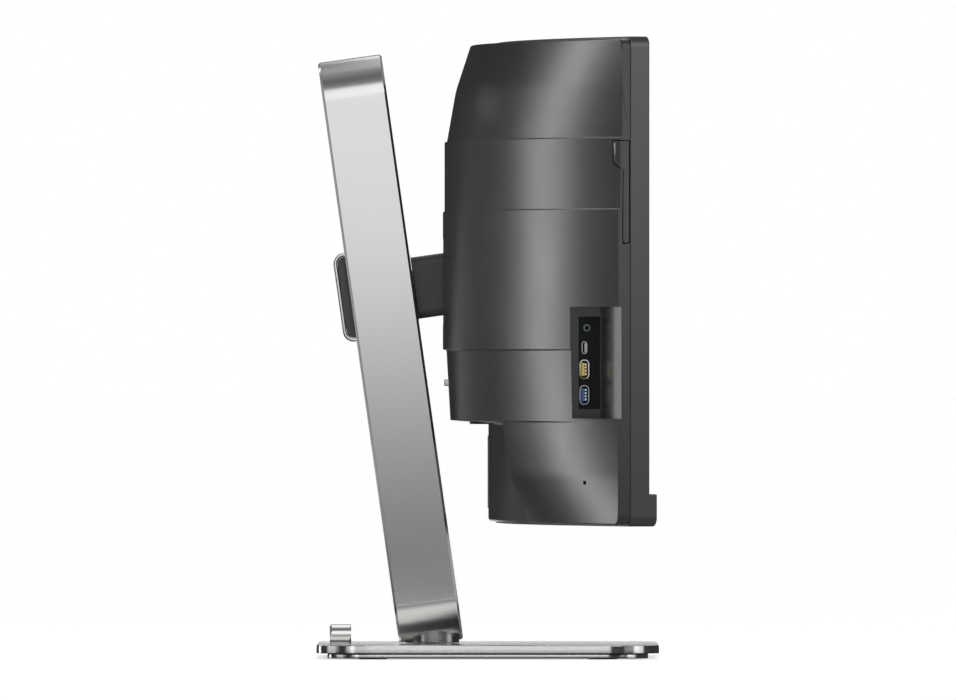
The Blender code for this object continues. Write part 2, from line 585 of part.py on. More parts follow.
def build_hook():
    where = frame("hook_axis", (HOOK_PIVOT_X, (-0.1067 - 0.1018) / 2, HOOK_PIVOT_Z))
    hook = hook_prism("headset_hook", 0.0, 0.0)
    CUTTERS.objects.unlink(hook)
    PARTS.objects.link(hook)
    hook.hide_render, hook.display_type = False, "TEXTURED"
    hook.data.materials.append(COVER_PLASTIC)
    hook.data.transform(Matrix.Translation(-where.location))
    hook.parent = where
    boolean(hook, cover_body("hook_skin", 0.0), operation="INTERSECT")


def build_release_button():
    rear, inner = RELEASE_REAR, 0.0265
    outline = (
        (rear, RELEASE_Z - 0.0021),
        (rear, RELEASE_Z + 0.0021),
        (rear - 0.0006, RELEASE_Z + 0.00255),
        (inner, RELEASE_Z + 0.00255),
        (inner, RELEASE_Z + 0.0060),
        (inner - 0.0018, RELEASE_Z + 0.0060),
        (inner - 0.0018, RELEASE_Z - 0.0060),
        (inner, RELEASE_Z - 0.0060),
        (inner, RELEASE_Z - 0.00255),
        (rear - 0.0006, RELEASE_Z - 0.00255),
    )
    flat_solid("quick_release_button", [outline], -0.010, 0.010, "YZ", POLISHED)


# ---- base --------------------------------------------------------------------------------------
def build_base():
    bore = cylinder("thumbscrew_bore", 0.0045, 0.0, 0.02, (0.0, HUB_Y), sides=20)
    well = cylinder("thumbscrew_well", 0.0160, 0.0, 0.02, (0.0, HUB_Y), sides=24)
    outline = rounded_rectangle(BASE_WIDTH / 2, BASE_DEPTH / 2, BASE_CORNER)
    plate = flat_solid("base_top_plate", [outline], PLATE_LOW, PLATE_HIGH, paint=SILVER)
    boolean(bevel(plate, 0.0014, 2), bore)
    inset = 0.0084
    outline = rounded_rectangle(BASE_WIDTH / 2 - inset, BASE_DEPTH / 2 - inset, BASE_CORNER - inset)
    weight = flat_solid("base_weight_plate", [outline], WEIGHT_LOW, WEIGHT_HIGH, paint=STEEL)
    boolean(weight, well)
    for front, y in (("front", -FOOT_Y), ("rear", FOOT_Y)):
        for side, x in (("left", -FOOT_X), ("right", FOOT_X)):
            cylinder(f"foot_{front}_{side}", FOOT_RADIUS, 0.0, FOOT_HEIGHT, (x, y), paint=RUBBER, sides=24)
            radius, top = FOOT_RADIUS + GAP, FOOT_HEIGHT + GAP
            boolean(weight, cylinder(f"seat_{front}_{side}", radius, -0.001, top, (x, y), sides=24))
    half = ((0.0, 0.0215), (0.0040, 0.0215), (0.0040, 0.0041))
    screw = (*half, (0.0145, 0.0041), (0.0145, 0.0012), (0.0, 0.0012))
    turned("base_thumbscrew", screw, (0.0, HUB_Y, 0.0), STEEL)
    build_cable_ring()


def build_cable_ring():
    """A split ring standing on the base behind the column, open at its upper right for a cable."""
    outer, inner, top = 0.0085, 0.0063, 0.0254
    centre = (0.0, top - outer)
    foot = PLATE_HIGH + GAP
    corner = math.degrees(math.asin((centre[1] - foot) / outer))
    outline = arc(centre, (outer, outer), 52, 180 + corner, 14)
    outline += arc(centre, (outer, outer), 360 - corner, 385, 6)
    outline += arc(centre, (inner, inner), 385, 360, 3)[:-1]
    outline += arc(centre, (inner, inner), 360, 52, 22)
    flat_solid("base_cable_ring", [outline], 0.1062, 0.1209, "XZ", SILVER)


# ---- swivel and column -------------------------------------------------------------------------
def build_swivel():
    base = PLATE_HIGH + GAP
    hub = (
        (0.0, 0.0460),
        (NECK_RADIUS, 0.0460),
        (NECK_RADIUS, HUB_TOP),
        (HUB_RADIUS, HUB_TOP),
        (HUB_RADIUS, base),
        (0.0044, base),
        (0.0044, 0.0235),
        (0.0, 0.0235),
    )
    turned("swivel_hub", hub, (0.0, HUB_Y, 0.0), SILVER, sides=40)
    bore = NECK_RADIUS + GAP
    for name, radius, low, high, paint in (
        ("swivel_washer", 0.0150, 0.0363, 0.0379, NYLON),
        ("swivel_nut", 0.0130, 0.0382, 0.0440, STEEL),
    ):
        ring = ((bore, high), (radius, high), (radius, low), (bore, low))
        turned(name, ring, (0.0, HUB_Y, 0.0), paint, closed=True)


def build_column(where):
    hub_space = cylinder("hub_space", HUB_RADIUS + 0.0004, 0.0, HUB_TOP + 0.0004, (0.0, HUB_Y), sides=40)
    trim = box("loop_trim", (-0.1, -0.05, -0.02), (0.1, 0.15, PLATE_HIGH + 0.0008))
    outlines = [ring_outline(0.0), ring_outline(LOOP_WALL)]
    loop = flat_solid("column_loop", outlines, -LOOP_DEPTH / 2, LOOP_DEPTH / 2, "XZ", SILVER, where)
    boolean(bevel(loop, 0.0022, 1), trim, hub_space)

    inner = LOOP_WALL + GAP
    foot = flat_solid("column_foot", [ring_outline(inner)], -0.018, 0.018, "XZ", STEEL, where)
    slice_of_foot = box("foot_slice", (-0.05, -0.02, HUB_TOP + 0.0005), (0.05, 0.10, 0.0360))
    boolean(foot, slice_of_foot, operation="INTERSECT")
    boolean(foot, cylinder("neck_space", NECK_RADIUS + GAP, 0.0, 0.1, (0.0, HUB_Y), sides=24))

    slot_half, reach = 0.014, 0.022
    low, high = LIFT_REST - LIFT_DOWN - reach, LIFT_REST + LIFT_UP + reach
    slot = rounded_rectangle(slot_half, (high - low) / 2, 0.006, 4, (0.0, (low + high) / 2))
    top = arc((0.0, LOOP_HEIGHT - LOOP_END), (LOOP_HALF - inner, LOOP_END - inner), 0, 180, 14)
    edge = LOOP_HALF - inner
    outline = [(-edge, COVER_START), (edge, COVER_START), *top]
    for name, near in (("column_front_cover", -0.0215), ("column_rear_cover", 0.0190)):
        flat_solid(name, [outline, slot], near, near + 0.0025, "XZ", BLACK_PLASTIC, where)
    for name, side in (("rail_left", -1), ("rail_right", 1)):
        x = sorted((side * 0.0220, side * 0.0252))
        box(name, (x[0], -0.0050, 0.105), (x[1], 0.0050, 0.420), STEEL, where)
    box("rail_head_bracket", (-0.0200, -0.0090, 0.4235), (0.0200, 0.0108, 0.4360), STEEL, where)
    strip = 0.0004
    near = DRUM_RADIUS + GAP
    box("lift_spring", (-0.0080, near, 0.178), (0.0080, near + strip, 0.4340), SPRING_STEEL, where)


def build_carriage(where):
    """The carriage slides in the column; its frame's origin is at its middle, on the lift axis."""
    rear, front = DRUM_RADIUS - 0.0001, -0.0120
    body = box("carriage_body", (-0.0150, front, -0.070), (0.0150, rear, 0.040), STEEL, where)
    fork = box("carriage_fork", (-0.0102, -0.02, -0.075), (0.0102, 0.02, -0.0435), parent=where)
    boolean(body, fork)
    for name, low, high in (("post_left", -0.0120, -0.0086), ("post_right", 0.0086, 0.0120)):
        post = box(name, (low, 0.0, -0.018), (high, LOOP_DEPTH / 2 + 0.0001, 0.018), parent=where)
        boolean(body, post, operation="UNION")
    axle = (0.0, -DRUM_BELOW)
    boolean(body, cylinder("axle_bore", 0.0028, -0.02, 0.02, axle, "X", parent=where, sides=16))

    channel = ((0.0153, -0.009), (0.0249, -0.009), (0.0249, -0.0053), (0.0217, -0.0053))
    channel += tuple((x, -y) for x, y in reversed(channel))
    for name, side in (("glide_left", -1), ("glide_right", 1)):
        flat_solid(name, [[(side * x, y) for x, y in channel]], -0.036, 0.036, paint=NYLON, parent=where)

    cylinder("drum_axle", 0.0025, -0.0148, 0.0148, (0.0, -DRUM_BELOW), "X", STEEL, where, 16)
    drum_frame = frame("drum_axis", (0.0, 0.0, -DRUM_BELOW), parent=where)
    middle = (0.0, 0.0)
    drum = cylinder("spring_drum", DRUM_RADIUS, -0.0085, 0.0085, middle, "X", SPRING_STEEL, drum_frame, 24)
    boolean(drum, cylinder("drum_bore", 0.0029, -0.02, 0.02, middle, "X", parent=drum_frame, sides=16))
    build_rear_cap(where)
    build_arm(where)


def cap_outline(inset):
    """Half of a rounded rectangle standing behind the column, moved inwards."""
    near, far, top = LOOP_DEPTH / 2 + 0.0004, CAP_REAR - inset, CAP_HALF_HEIGHT - inset
    corner = CAP_CORNER - inset
    upper = arc((far - corner, top - corner), (corner, corner), 90, 0, 6)
    return [(near, top), *upper, *((y, -z) for y, z in reversed(upper)), (near, -top)]


def build_rear_cap(where):
    band = cap_outline(0.0) + cap_outline(CAP_RIM)[::-1]
    flat_solid("carriage_trim", [band], -0.0200, 0.0200, "YZ", POLISHED, where)
    flat_solid("carriage_rear_cap", [cap_outline(CAP_RIM + GAP)], -0.0196, 0.0196, "YZ", ARM_PLASTIC, where)


def build_arm(where):
    """The hollow arm shell, the steel beam in it, and the tilt shaft through the beam's barrel."""
    back, front, half, chamfer = -LOOP_DEPTH / 2 - 0.0004, -ARM_FRONT, ARM_HALF_HEIGHT, 0.0045
    outline = [(back, -half + chamfer), (back, half - chamfer), (back - chamfer, half), (front, half)]
    outline += [(front, -half), (back - chamfer, -half)]
    shell = flat_solid("arm_shell", [outline], -ARM_HALF_WIDTH, ARM_HALF_WIDTH, "YZ", ARM_PLASTIC, where)
    room_x, room_z = ARM_HALF_WIDTH - ARM_WALL, ARM_HALF_HEIGHT - ARM_WALL
    low, high = (-room_x, front - 0.01, -room_z), (room_x, back - ARM_WALL, room_z)
    inside = box("arm_inside", low, high, parent=where)
    beam_x, beam_z = BEAM_HALF_WIDTH, BEAM_HALF_HEIGHT
    low, high = (-beam_x - GAP, -0.04, -beam_z - GAP), (beam_x + GAP, -0.02, beam_z + GAP)
    boolean(shell, inside, box("beam_hole", low, high, parent=where))

    root = -0.0123
    outline = [(root, beam_z), (-HINGE_FORWARD, beam_z - 0.001)]
    outline += arc((-HINGE_FORWARD, 0.0), (BEAM_BARREL, BEAM_BARREL), 90, 270, 14)[1:-1]
    outline += [(-HINGE_FORWARD, 0.001 - beam_z), (root, -beam_z)]
    beam = flat_solid("arm_beam", [outline], -beam_x, beam_x, "YZ", STEEL, where)
    hinge, bore = (-HINGE_FORWARD, 0.0), HINGE_RADIUS + GAP
    boolean(beam, cylinder("beam_bore", bore, -0.03, 0.03, hinge, "X", parent=where, sides=24))
    for name, low, high in (("tilt_washer_left", -0.0137, -0.0125), ("tilt_washer_right", 0.0125, 0.0137)):
        washer = cylinder(name, 0.0105, low, high, hinge, "X", NYLON, where, 24)
        boolean(washer, cylinder(f"{name}_bore", bore, -0.03, 0.03, hinge, "X", parent=where, sides=24))
    head, grip = 0.0085, 0.0184
    profile = ((0.0, 0.0206), (head, 0.0206), (head, grip), (HINGE_RADIUS, grip))
    profile += tuple((r, -z) for r, z in reversed(profile))
    place, turn = (0.0, -HINGE_FORWARD, 0.0), (0, math.pi / 2, 0)
    turned("tilt_shaft", profile, place, STEEL, sides=24, parent=where, rotation=turn)


build_bezel()
build_screen()
build_keys()
build_rear_cover()
build_bay()
build_side_ports()
build_electronics()
build_tilt_bracket()
build_hook()
build_release_button()
build_base()
build_swivel()
column_frame = frame("column_frame", (0.0, COLUMN_Y, COLUMN_Z), (-COLUMN_LEAN, 0.0, 0.0))
build_column(column_frame)
build_carriage(frame("carriage_frame", (0.0, 0.0, LIFT_REST), parent=column_frame))
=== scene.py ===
"""The curved ultrawide monitor's looks: finer meshes on the CAD frame, materials, studio and camera."""

import json
import math

import bmesh
import bpy
from mathutils import Matrix, Vector


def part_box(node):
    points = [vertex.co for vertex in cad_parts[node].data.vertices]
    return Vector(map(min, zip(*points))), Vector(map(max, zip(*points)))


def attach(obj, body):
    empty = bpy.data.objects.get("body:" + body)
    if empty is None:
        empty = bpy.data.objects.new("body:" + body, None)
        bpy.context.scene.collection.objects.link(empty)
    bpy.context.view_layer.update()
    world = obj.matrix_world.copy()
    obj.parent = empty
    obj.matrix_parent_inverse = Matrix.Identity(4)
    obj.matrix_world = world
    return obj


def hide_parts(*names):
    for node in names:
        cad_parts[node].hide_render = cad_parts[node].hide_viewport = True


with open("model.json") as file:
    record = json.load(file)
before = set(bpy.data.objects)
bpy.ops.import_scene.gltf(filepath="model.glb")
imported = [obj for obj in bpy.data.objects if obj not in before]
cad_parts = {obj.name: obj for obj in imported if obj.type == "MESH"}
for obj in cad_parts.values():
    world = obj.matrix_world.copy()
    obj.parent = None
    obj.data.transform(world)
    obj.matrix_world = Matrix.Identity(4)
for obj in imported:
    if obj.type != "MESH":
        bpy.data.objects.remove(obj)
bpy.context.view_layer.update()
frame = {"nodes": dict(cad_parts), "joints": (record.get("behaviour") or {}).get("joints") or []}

# ---- sizes in metres: those read from the frame, and those that it can't give ----
BEZEL_LOW, BEZEL_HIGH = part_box("front_bezel")
COVER_LOW, COVER_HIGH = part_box("rear_cover")
BASE_LOW, BASE_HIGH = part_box("base_top_plate")
WEIGHT_LOW, WEIGHT_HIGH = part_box("base_weight_plate")
HUB_LOW, HUB_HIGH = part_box("swivel_hub")
RING_LOW, RING_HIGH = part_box("base_cable_ring")
JOINTS = {joint["name"]: joint for joint in frame["joints"]}

SCREEN_RADIUS, SCREEN_Y = 1.8, -0.0216  # the front surface's, at its middle
AXIS_Y = SCREEN_Y - SCREEN_RADIUS  # of the upright axis that the screen is curved about
HALF_ANGLE = math.radians(19.21)
CHIN_TOP, CHIN_RADIUS, SEAM_RADIUS = 0.1283, 1.794, 1.8153
BEZEL_WALL, COVER_WALL, COVER_END = 0.0021, 0.0025, 0.021
CORNER = 0.007  # the display's corners, seen from the front
PICTURE_TOP, PICTURE_HALF_ANGLE = 0.4646, math.radians(18.99)
KEYS = range(1, 6)
FEET = "foot_front_left foot_front_right foot_rear_left foot_rear_right"
COVER_FRONT_HALF, COVER_REAR_HALF = 0.597, 0.595
REAR_EDGE_Y, FLARE_DEPTH = -0.0978, 0.0092  # where the cover's ends start to flare, and for how far
COVER_ROWS = (  # height, rear surface's Y at the middle, and its Y at the ends
    (COVER_LOW[2], -0.0016, -0.0978),
    (0.1435, 0.0188, -0.0978),
    (0.182, 0.0275, -0.0978),
    (0.183, 0.0288, -0.0978),
    (0.2365, 0.0318, -0.0978),
    (0.2375, 0.0346, -0.0982),
    (0.343, 0.0346, -0.0982),
    (0.3437, 0.0333, -0.0998),
    (0.3967, 0.0333, -0.0998),
    (0.3975, 0.0314, -0.1011),
    (0.4363, 0.0246, -0.1011),
    (COVER_HIGH[2], 0.0132, -0.1011),
)
SOFT_BENDS = (0.1435, 0.4363)  # the rows where the surface bends instead of stepping
BAY_HALF_ANGLE, BAY_FLOOR_RADIUS = math.radians(10.47), 1.8211
LEDGE_Z, LEDGE_SLOPE = 0.1804, 0.0853
LABEL_LOW, LABEL_HIGH, LABEL_HALF_ANGLE = 0.1154, 0.1709, 0.035
BAY_PORT_RADIUS = 1.8345
BAY_PORTS = (  # node, angle from the middle in degrees, half its width, half its depth
    ("ac_inlet", -5.6, 0.0135, 0.0088),
    ("hdmi_port", 3.4, 0.0076, 0.0029),
    ("displayport_socket", 4.6, 0.0082, 0.0029),
)
VENT_STEP = math.radians(0.95)
VENTS = (  # number to a side, the first and the spacing in steps, half length, reach, radius, height
    (8, 1.5, 1.0, 0.012, 0.006, 1.8245, COVER_HIGH[2]),
    (3, 8.2, 0.9, 0.011, 0.007, 1.833, LEDGE_Z),
)
POCKET_LOW, POCKET_HIGH = 0.1851, 0.2695
POCKET_WALL_REAR, POCKET_WALL_FRONT = (-0.511, -0.0619), (-0.518, -0.0856)
POCKET_RAMP, POCKET_EXIT = (-0.566, -0.0915), (-0.61, -0.1048)
PORT_PANEL_LOW, PORT_PANEL_HIGH = 0.1924, 0.2621
SIDE_PORT_Y = -0.0041
USB_A_LOWER_Z, USB_A_UPPER_Z, USB_C_Z, JACK_Z = 0.203, 0.2223, 0.2387, 0.2537
PLATE_CUT = (-0.004, 0.001)  # through the port plate
LEAN = math.atan2(JOINTS["height"]["axis"][1], JOINTS["height"]["axis"][2])
COLUMN_FOOT = (0.0, 0.0432, 0.0105)
LOOP_HEIGHT, LOOP_DEPTH, LOOP_HALF, LOOP_END, LOOP_WALL = 0.4555, 0.0495, 0.03, 0.034, 0.0045
LIFT_REST = 0.2732  # the carriage's place up the column
HINGE_Z = JOINTS["tilt"]["pos_m"][2]
HUB_Y = JOINTS["swivel"]["pos_m"][1]
HOOK_X, _, HOOK_Z = JOINTS["hook_swing"]["pos_m"]

SHARP = math.radians(32)  # faces that meet more steeply than this keep a hard edge
PIECES = []
CUTTERS = bpy.data.collections.new("cutters")
bpy.context.scene.collection.children.link(CUTTERS)
CUTTERS.hide_render = True


# ---- materials ----
class Paint:
    """A Principled material under construction, in metres in the object's own space."""

    def __init__(self, name, roughness, metallic=0.0, **sockets):
        self.made = bpy.data.materials.new(name)
        self.made.use_nodes = True
        self.nodes, self.links = self.made.node_tree.nodes, self.made.node_tree.links
        self.shader = self.nodes["Principled BSDF"]
        self.shader.inputs["Roughness"].default_value = roughness
        self.shader.inputs["Metallic"].default_value = metallic
        for socket, value in sockets.items():
            self.shader.inputs[socket.replace("_", " ")].default_value = value
        self.place = self.nodes.new("ShaderNodeTexCoord").outputs["Object"]
        self.height = None

    def add(self, kind, **sockets):
        node = self.nodes.new(kind)
        for socket, value in sockets.items():
            node.inputs[socket.replace("_", " ")].default_value = value
        return node

    def stretched(self, scale, rotation):
        """The object's space scaled along each axis, for brushing and grain with a direction."""
        node = self.add("ShaderNodeMapping", Scale=scale, Rotation=rotation)
        self.links.new(self.place, node.inputs["Vector"])
        return node.outputs["Vector"]

    def noise(self, scale, detail=2.0, rough=0.5, vector=None):
        node = self.add("ShaderNodeTexNoise", Scale=scale, Detail=detail, Roughness=rough)
        self.links.new(vector or self.place, node.inputs["Vector"])
        return node.outputs["Fac"]

    def mapped(self, value, low, high, start=0.3, end=0.7):
        """The value's span from start to end, turned into low to high."""
        spans = {"From_Min": start, "From_Max": end, "To_Min": low, "To_Max": high}
        node = self.add("ShaderNodeMapRange", **spans)
        self.links.new(value, node.inputs["Value"])
        return node.outputs["Result"]

    def colour(self, value, dark, light):
        node = self.nodes.new("ShaderNodeMix")
        node.data_type = "RGBA"
        node.inputs["A"].default_value = (*dark, 1.0)
        node.inputs["B"].default_value = (*light, 1.0)
        self.links.new(value, node.inputs["Factor"])
        self.links.new(node.outputs["Result"], self.shader.inputs["Base Color"])
        return self

    def roughness(self, value, low, high):
        self.links.new(self.mapped(value, low, high), self.shader.inputs["Roughness"])
        return self

    def bump(self, value, depth):
        """Relief of this depth, on top of any that's already there."""
        node = self.add("ShaderNodeBump", Distance=depth)
        self.links.new(value, node.inputs["Height"])
        if self.height:
            self.links.new(self.height, node.inputs["Normal"])
        self.height = node.outputs["Normal"]
        self.links.new(self.height, self.shader.inputs["Normal"])
        return self


def grained_plastic(name, dark, light, roughness, grain=1500.0, depth=1.4e-5, **sockets):
    """Moulded plastic with a fine spark-eroded grain, faint mottling and handling sheen."""
    paint = Paint(name, roughness, **sockets)
    paint.colour(paint.mapped(paint.noise(grain * 0.6, 3.0), 0.0, 1.0, 0.25, 0.75), dark, light)
    paint.roughness(paint.noise(14.0, 3.0), roughness - 0.012, roughness + 0.012)
    paint.bump(paint.noise(grain, 2.0, 0.6), depth)
    return paint.made


def satin_metal(name, dark, light, roughness, direction, depth=6e-6, rotation=(0.0, 0.0, 0.0)):
    """Bead-blasted and lightly brushed metal; direction holds the stretch of its fine lines."""
    paint = Paint(name, roughness, 1.0)
    lines = paint.noise(1.0, 3.0, 0.6, paint.stretched(direction, rotation))
    paint.colour(paint.mapped(lines, 0.0, 1.0), dark, light)
    paint.roughness(lines, roughness - 0.02, roughness + 0.02)
    paint.bump(lines, depth)
    paint.bump(paint.noise(2600.0, 2.0), 1.5e-6)
    return paint.made


COVER = grained_plastic(
    "cover_plastic", (0.019, 0.019, 0.0195), (0.029, 0.029, 0.0295), 0.22, 1500.0, 4e-6
)
BEZEL = grained_plastic(
    "bezel_plastic", (0.024, 0.024, 0.0245), (0.031, 0.031, 0.0315), 0.34, 2200.0, 1e-5
)
ARM = grained_plastic("arm_plastic", (0.046, 0.046, 0.047), (0.06, 0.06, 0.061), 0.42, 1600.0, 1.2e-5)
BLACK = grained_plastic(
    "black_plastic", (0.01, 0.01, 0.0105), (0.016, 0.016, 0.0165), 0.45, 1800.0, 1.2e-5
)
ALUMINIUM = satin_metal(
    "satin_aluminium", (0.655, 0.655, 0.645), (0.675, 0.675, 0.665), 0.2,
    (900.0, 900.0, 30.0), 8e-7, (LEAN, 0, 0),
)
BASE_METAL = satin_metal(
    "base_aluminium", (0.65, 0.65, 0.64), (0.68, 0.68, 0.67), 0.15, (40.0, 1100.0, 1100.0), 1e-6
)
HUB_METAL = satin_metal(
    "hub_metal", (0.32, 0.32, 0.315), (0.35, 0.35, 0.345), 0.22, (40.0, 40.0, 1800.0), 1e-6
)
POLISHED = satin_metal(
    "polished_rim", (0.6, 0.6, 0.6), (0.64, 0.64, 0.64), 0.1, (600.0, 20.0, 20.0), 2e-6
)
ZINC = satin_metal(
    "zinc_plate", (0.42, 0.43, 0.44), (0.52, 0.53, 0.54), 0.34, (260.0, 260.0, 260.0), 1e-5
)
SPRING = satin_metal(
    "spring_steel", (0.3, 0.3, 0.33), (0.38, 0.38, 0.4), 0.25, (900.0, 900.0, 20.0), 4e-6
)
SHELL_METAL = satin_metal(
    "socket_shell", (0.88, 0.88, 0.88), (0.95, 0.95, 0.94), 0.2, (900.0, 900.0, 900.0), 3e-6
)
NYLON = grained_plastic("nylon", (0.6, 0.59, 0.55), (0.68, 0.67, 0.63), 0.45, 700.0, 3e-5)
RUBBER = grained_plastic("rubber", (0.014, 0.014, 0.014), (0.024, 0.024, 0.024), 0.75, 900.0, 8e-5)
LABEL_FILM = grained_plastic("label_film", (0.17, 0.17, 0.17), (0.2, 0.2, 0.2), 0.42, 500.0, 1e-5)
GREEN = grained_plastic("jack_green", (0.025, 0.12, 0.035), (0.04, 0.17, 0.05), 0.38, 2000.0, 2e-5)
YELLOW = grained_plastic("tongue_yellow", (0.5, 0.34, 0.008), (0.58, 0.4, 0.014), 0.38, 2000.0, 1e-5)
BLUE = grained_plastic("tongue_blue", (0.004, 0.08, 0.27), (0.008, 0.1, 0.33), 0.38, 2000.0, 1e-5)
PANEL = grained_plastic(
    "port_panel", (0.005, 0.005, 0.005), (0.007, 0.007, 0.007), 0.55, Specular_IOR_Level=0.15
)


def screen_material():
    """A switched-off panel behind an anti-glare film: near black, with a very fine sparkle."""
    paint = Paint("screen", 0.22, Specular_IOR_Level=0.5, Coat_Weight=0.25, Coat_Roughness=0.3)
    sparkle = paint.mapped(paint.noise(3000.0), 0.0, 1.0)
    paint.colour(sparkle, (0.0032, 0.0033, 0.0042), (0.0048, 0.0049, 0.006))
    paint.bump(paint.noise(5200.0, 1.0), 6e-6)
    return paint.made


def board_material():
    """Green solder mask with paler traces and pads."""
    paint = Paint("circuit_board", 0.42)
    cells = paint.nodes.new("ShaderNodeTexVoronoi")
    cells.distance, cells.feature = "MANHATTAN", "DISTANCE_TO_EDGE"
    cells.inputs["Scale"].default_value = 160.0
    paint.links.new(paint.place, cells.inputs["Vector"])
    traces = paint.mapped(cells.outputs["Distance"], 1.0, 0.0, 0.02, 0.06)
    paint.colour(traces, (0.006, 0.075, 0.028), (0.03, 0.22, 0.09))
    paint.bump(paint.noise(900.0), 2e-5)
    return paint.made


def acrylic_material():
    """The clear sheet behind the panel."""
    paint = Paint("acrylic", 0.08, Transmission_Weight=0.9, IOR=1.49)
    paint.colour(paint.mapped(paint.noise(60.0), 0.0, 1.0), (0.9, 0.93, 0.95), (0.95, 0.97, 0.98))
    paint.bump(paint.noise(800.0), 8e-6)
    return paint.made


SCREEN, BOARD, ACRYLIC = screen_material(), board_material(), acrylic_material()


# ---- shape helpers ----
def placed(name, data):
    obj = bpy.data.objects.new(name, data)
    bpy.context.scene.collection.objects.link(obj)
    return obj


def mesh_of(name, bm):
    bmesh.ops.recalc_face_normals(bm, faces=bm.faces)
    if bm.calc_volume(signed=True) < 0:
        bmesh.ops.reverse_faces(bm, faces=bm.faces)
    mesh = bpy.data.meshes.new(name)
    bm.to_mesh(mesh)
    bm.free()
    mesh.shade_smooth()
    mesh.set_sharp_from_angle(angle=SHARP)
    return mesh


def helper(name, bm, where=Matrix()):
    """A cutter, hidden from the render."""
    bm.transform(where)
    obj = bpy.data.objects.new(name, mesh_of(name, bm))
    CUTTERS.objects.link(obj)
    return obj


def piece(name, bm, paint, body, replaced=(), where=Matrix()):
    """A finished piece of the visual model, riding on its body."""
    bm.transform(where)
    obj = placed(name, mesh_of(name, bm))
    obj.data.materials.append(paint)
    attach(obj, body)
    if replaced:
        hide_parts(*replaced)
    PIECES.append(obj)
    return obj


def boolean(obj, *others, operation="DIFFERENCE"):
    """Cuts or joins at once, so that the piece's own mesh is the result."""
    for other in others:
        step = obj.modifiers.new(other.name, "BOOLEAN")
        step.operation, step.object, step.solver = operation, other, "EXACT"
    graph = bpy.context.evaluated_depsgraph_get()
    mesh = bpy.data.meshes.new_from_object(obj.evaluated_get(graph))
    obj.modifiers.clear()
    obj.data = mesh
    mesh.set_sharp_from_angle(angle=SHARP)
    for other in others:
        bpy.data.objects.remove(other, do_unlink=True)


def cut(obj, *ready, where=Matrix(), **meshes):
    """Cuts cutters that are ready, and then these named meshes, out of a piece."""
    boolean(obj, *ready, *(helper(name, bm, where) for name, bm in meshes.items()))


def box_bm(low, high, where=Matrix()):
    bm = bmesh.new()
    size = [b - a for a, b in zip(low, high)]
    middle = [(a + b) / 2 for a, b in zip(low, high)]
    place = where @ Matrix.Translation(middle) @ Matrix.Diagonal((*size, 1.0))
    bmesh.ops.create_cube(bm, size=1.0, matrix=place)
    return bm


def rounded(bm, width, segments=3, angle=40, edges=None, clamp=True):
    """Bevels these edges, or every edge sharper than the angle."""
    chosen = edges or [
        e for e in bm.edges if len(e.link_faces) == 2 and e.calc_face_angle(0.0) > math.radians(angle)
    ]
    bmesh.ops.bevel(
        bm, geom=chosen, offset=width, segments=segments, profile=0.5, affect="EDGES", clamp_overlap=clamp
    )
    return bm


def rod_bm(radius, low, high, centre, along="Z", sides=48):
    """A cylinder along an axis; centre holds its place on the other two."""
    quarter = math.pi / 2
    turn = {"Z": Matrix(), "X": Matrix.Rotation(quarter, 4, "Y"), "Y": Matrix.Rotation(quarter, 4, "X")}
    middle = (low + high) / 2
    place = {"Z": (*centre, middle), "X": (middle, *centre), "Y": (centre[0], middle, centre[1])}[along]
    bm = bmesh.new()
    bmesh.ops.create_cone(
        bm, cap_ends=True, segments=sides, radius1=radius, radius2=radius, depth=high - low,
        matrix=Matrix.Translation(place) @ turn[along],
    )
    return bm


def flat_bm(outlines, low, high, plane="XY"):
    """Closed 2D outlines, the later ones holes in the first, filled and given a thickness."""
    curve = bpy.data.curves.new("outline", "CURVE")
    curve.dimensions, curve.fill_mode, curve.extrude = "2D", "BOTH", (high - low) / 2
    for outline in outlines:
        spline = curve.splines.new("POLY")
        spline.points.add(len(outline) - 1)
        spline.use_cyclic_u = True
        for point, (a, b) in zip(spline.points, outline):
            point.co = (a, b, 0.0, 1.0)
    drawn = bpy.data.objects.new("outline", curve)
    CUTTERS.objects.link(drawn)
    graph = bpy.context.evaluated_depsgraph_get()
    bm = bmesh.new()
    bm.from_mesh(bpy.data.meshes.new_from_object(drawn.evaluated_get(graph)))
    bpy.data.objects.remove(drawn, do_unlink=True)
    bmesh.ops.remove_doubles(bm, verts=bm.verts, dist=1e-6)
    bmesh.ops.dissolve_limit(bm, angle_limit=math.radians(0.5), verts=bm.verts, edges=bm.edges)
    middle = (low + high) / 2
    for vertex in bm.verts:
        a, b, t = vertex.co.x, vertex.co.y, vertex.co.z + middle
        vertex.co = {"XY": (a, b, t), "XZ": (a, t, b), "YZ": (t, a, b)}[plane]
    return bm


def loft_bm(sections, closed=False):
    """A skin over a row of sections, capped at both ends or joined into a ring."""
    bm = bmesh.new()
    rings = [[bm.verts.new(point) for point in section] for section in sections]
    for one, two in zip(rings, rings[1:] + (rings[:1] if closed else [])):
        for i in range(len(one)):
            j = (i + 1) % len(one)
            bm.faces.new((one[i], one[j], two[j], two[i]))
    if not closed:
        bm.faces.new(rings[0])
        bm.faces.new(rings[-1])
    return bm


def turned_bm(profile, centre, closed=False, sides=96):
    """A (radius, height) profile turned about Z."""
    points = list(profile) + ([profile[0]] if closed else [])
    bm = bmesh.new()
    drawn = [bm.verts.new((radius, 0.0, height)) for radius, height in points]
    for one, two in zip(drawn, drawn[1:]):
        bm.edges.new((one, two))
    bmesh.ops.spin(
        bm, geom=bm.verts[:] + bm.edges[:], cent=(0, 0, 0), axis=(0, 0, 1), angle=2 * math.pi,
        steps=sides, use_merge=True,
    )
    bmesh.ops.remove_doubles(bm, verts=bm.verts, dist=1e-7)
    bm.transform(Matrix.Translation(centre))
    return bm


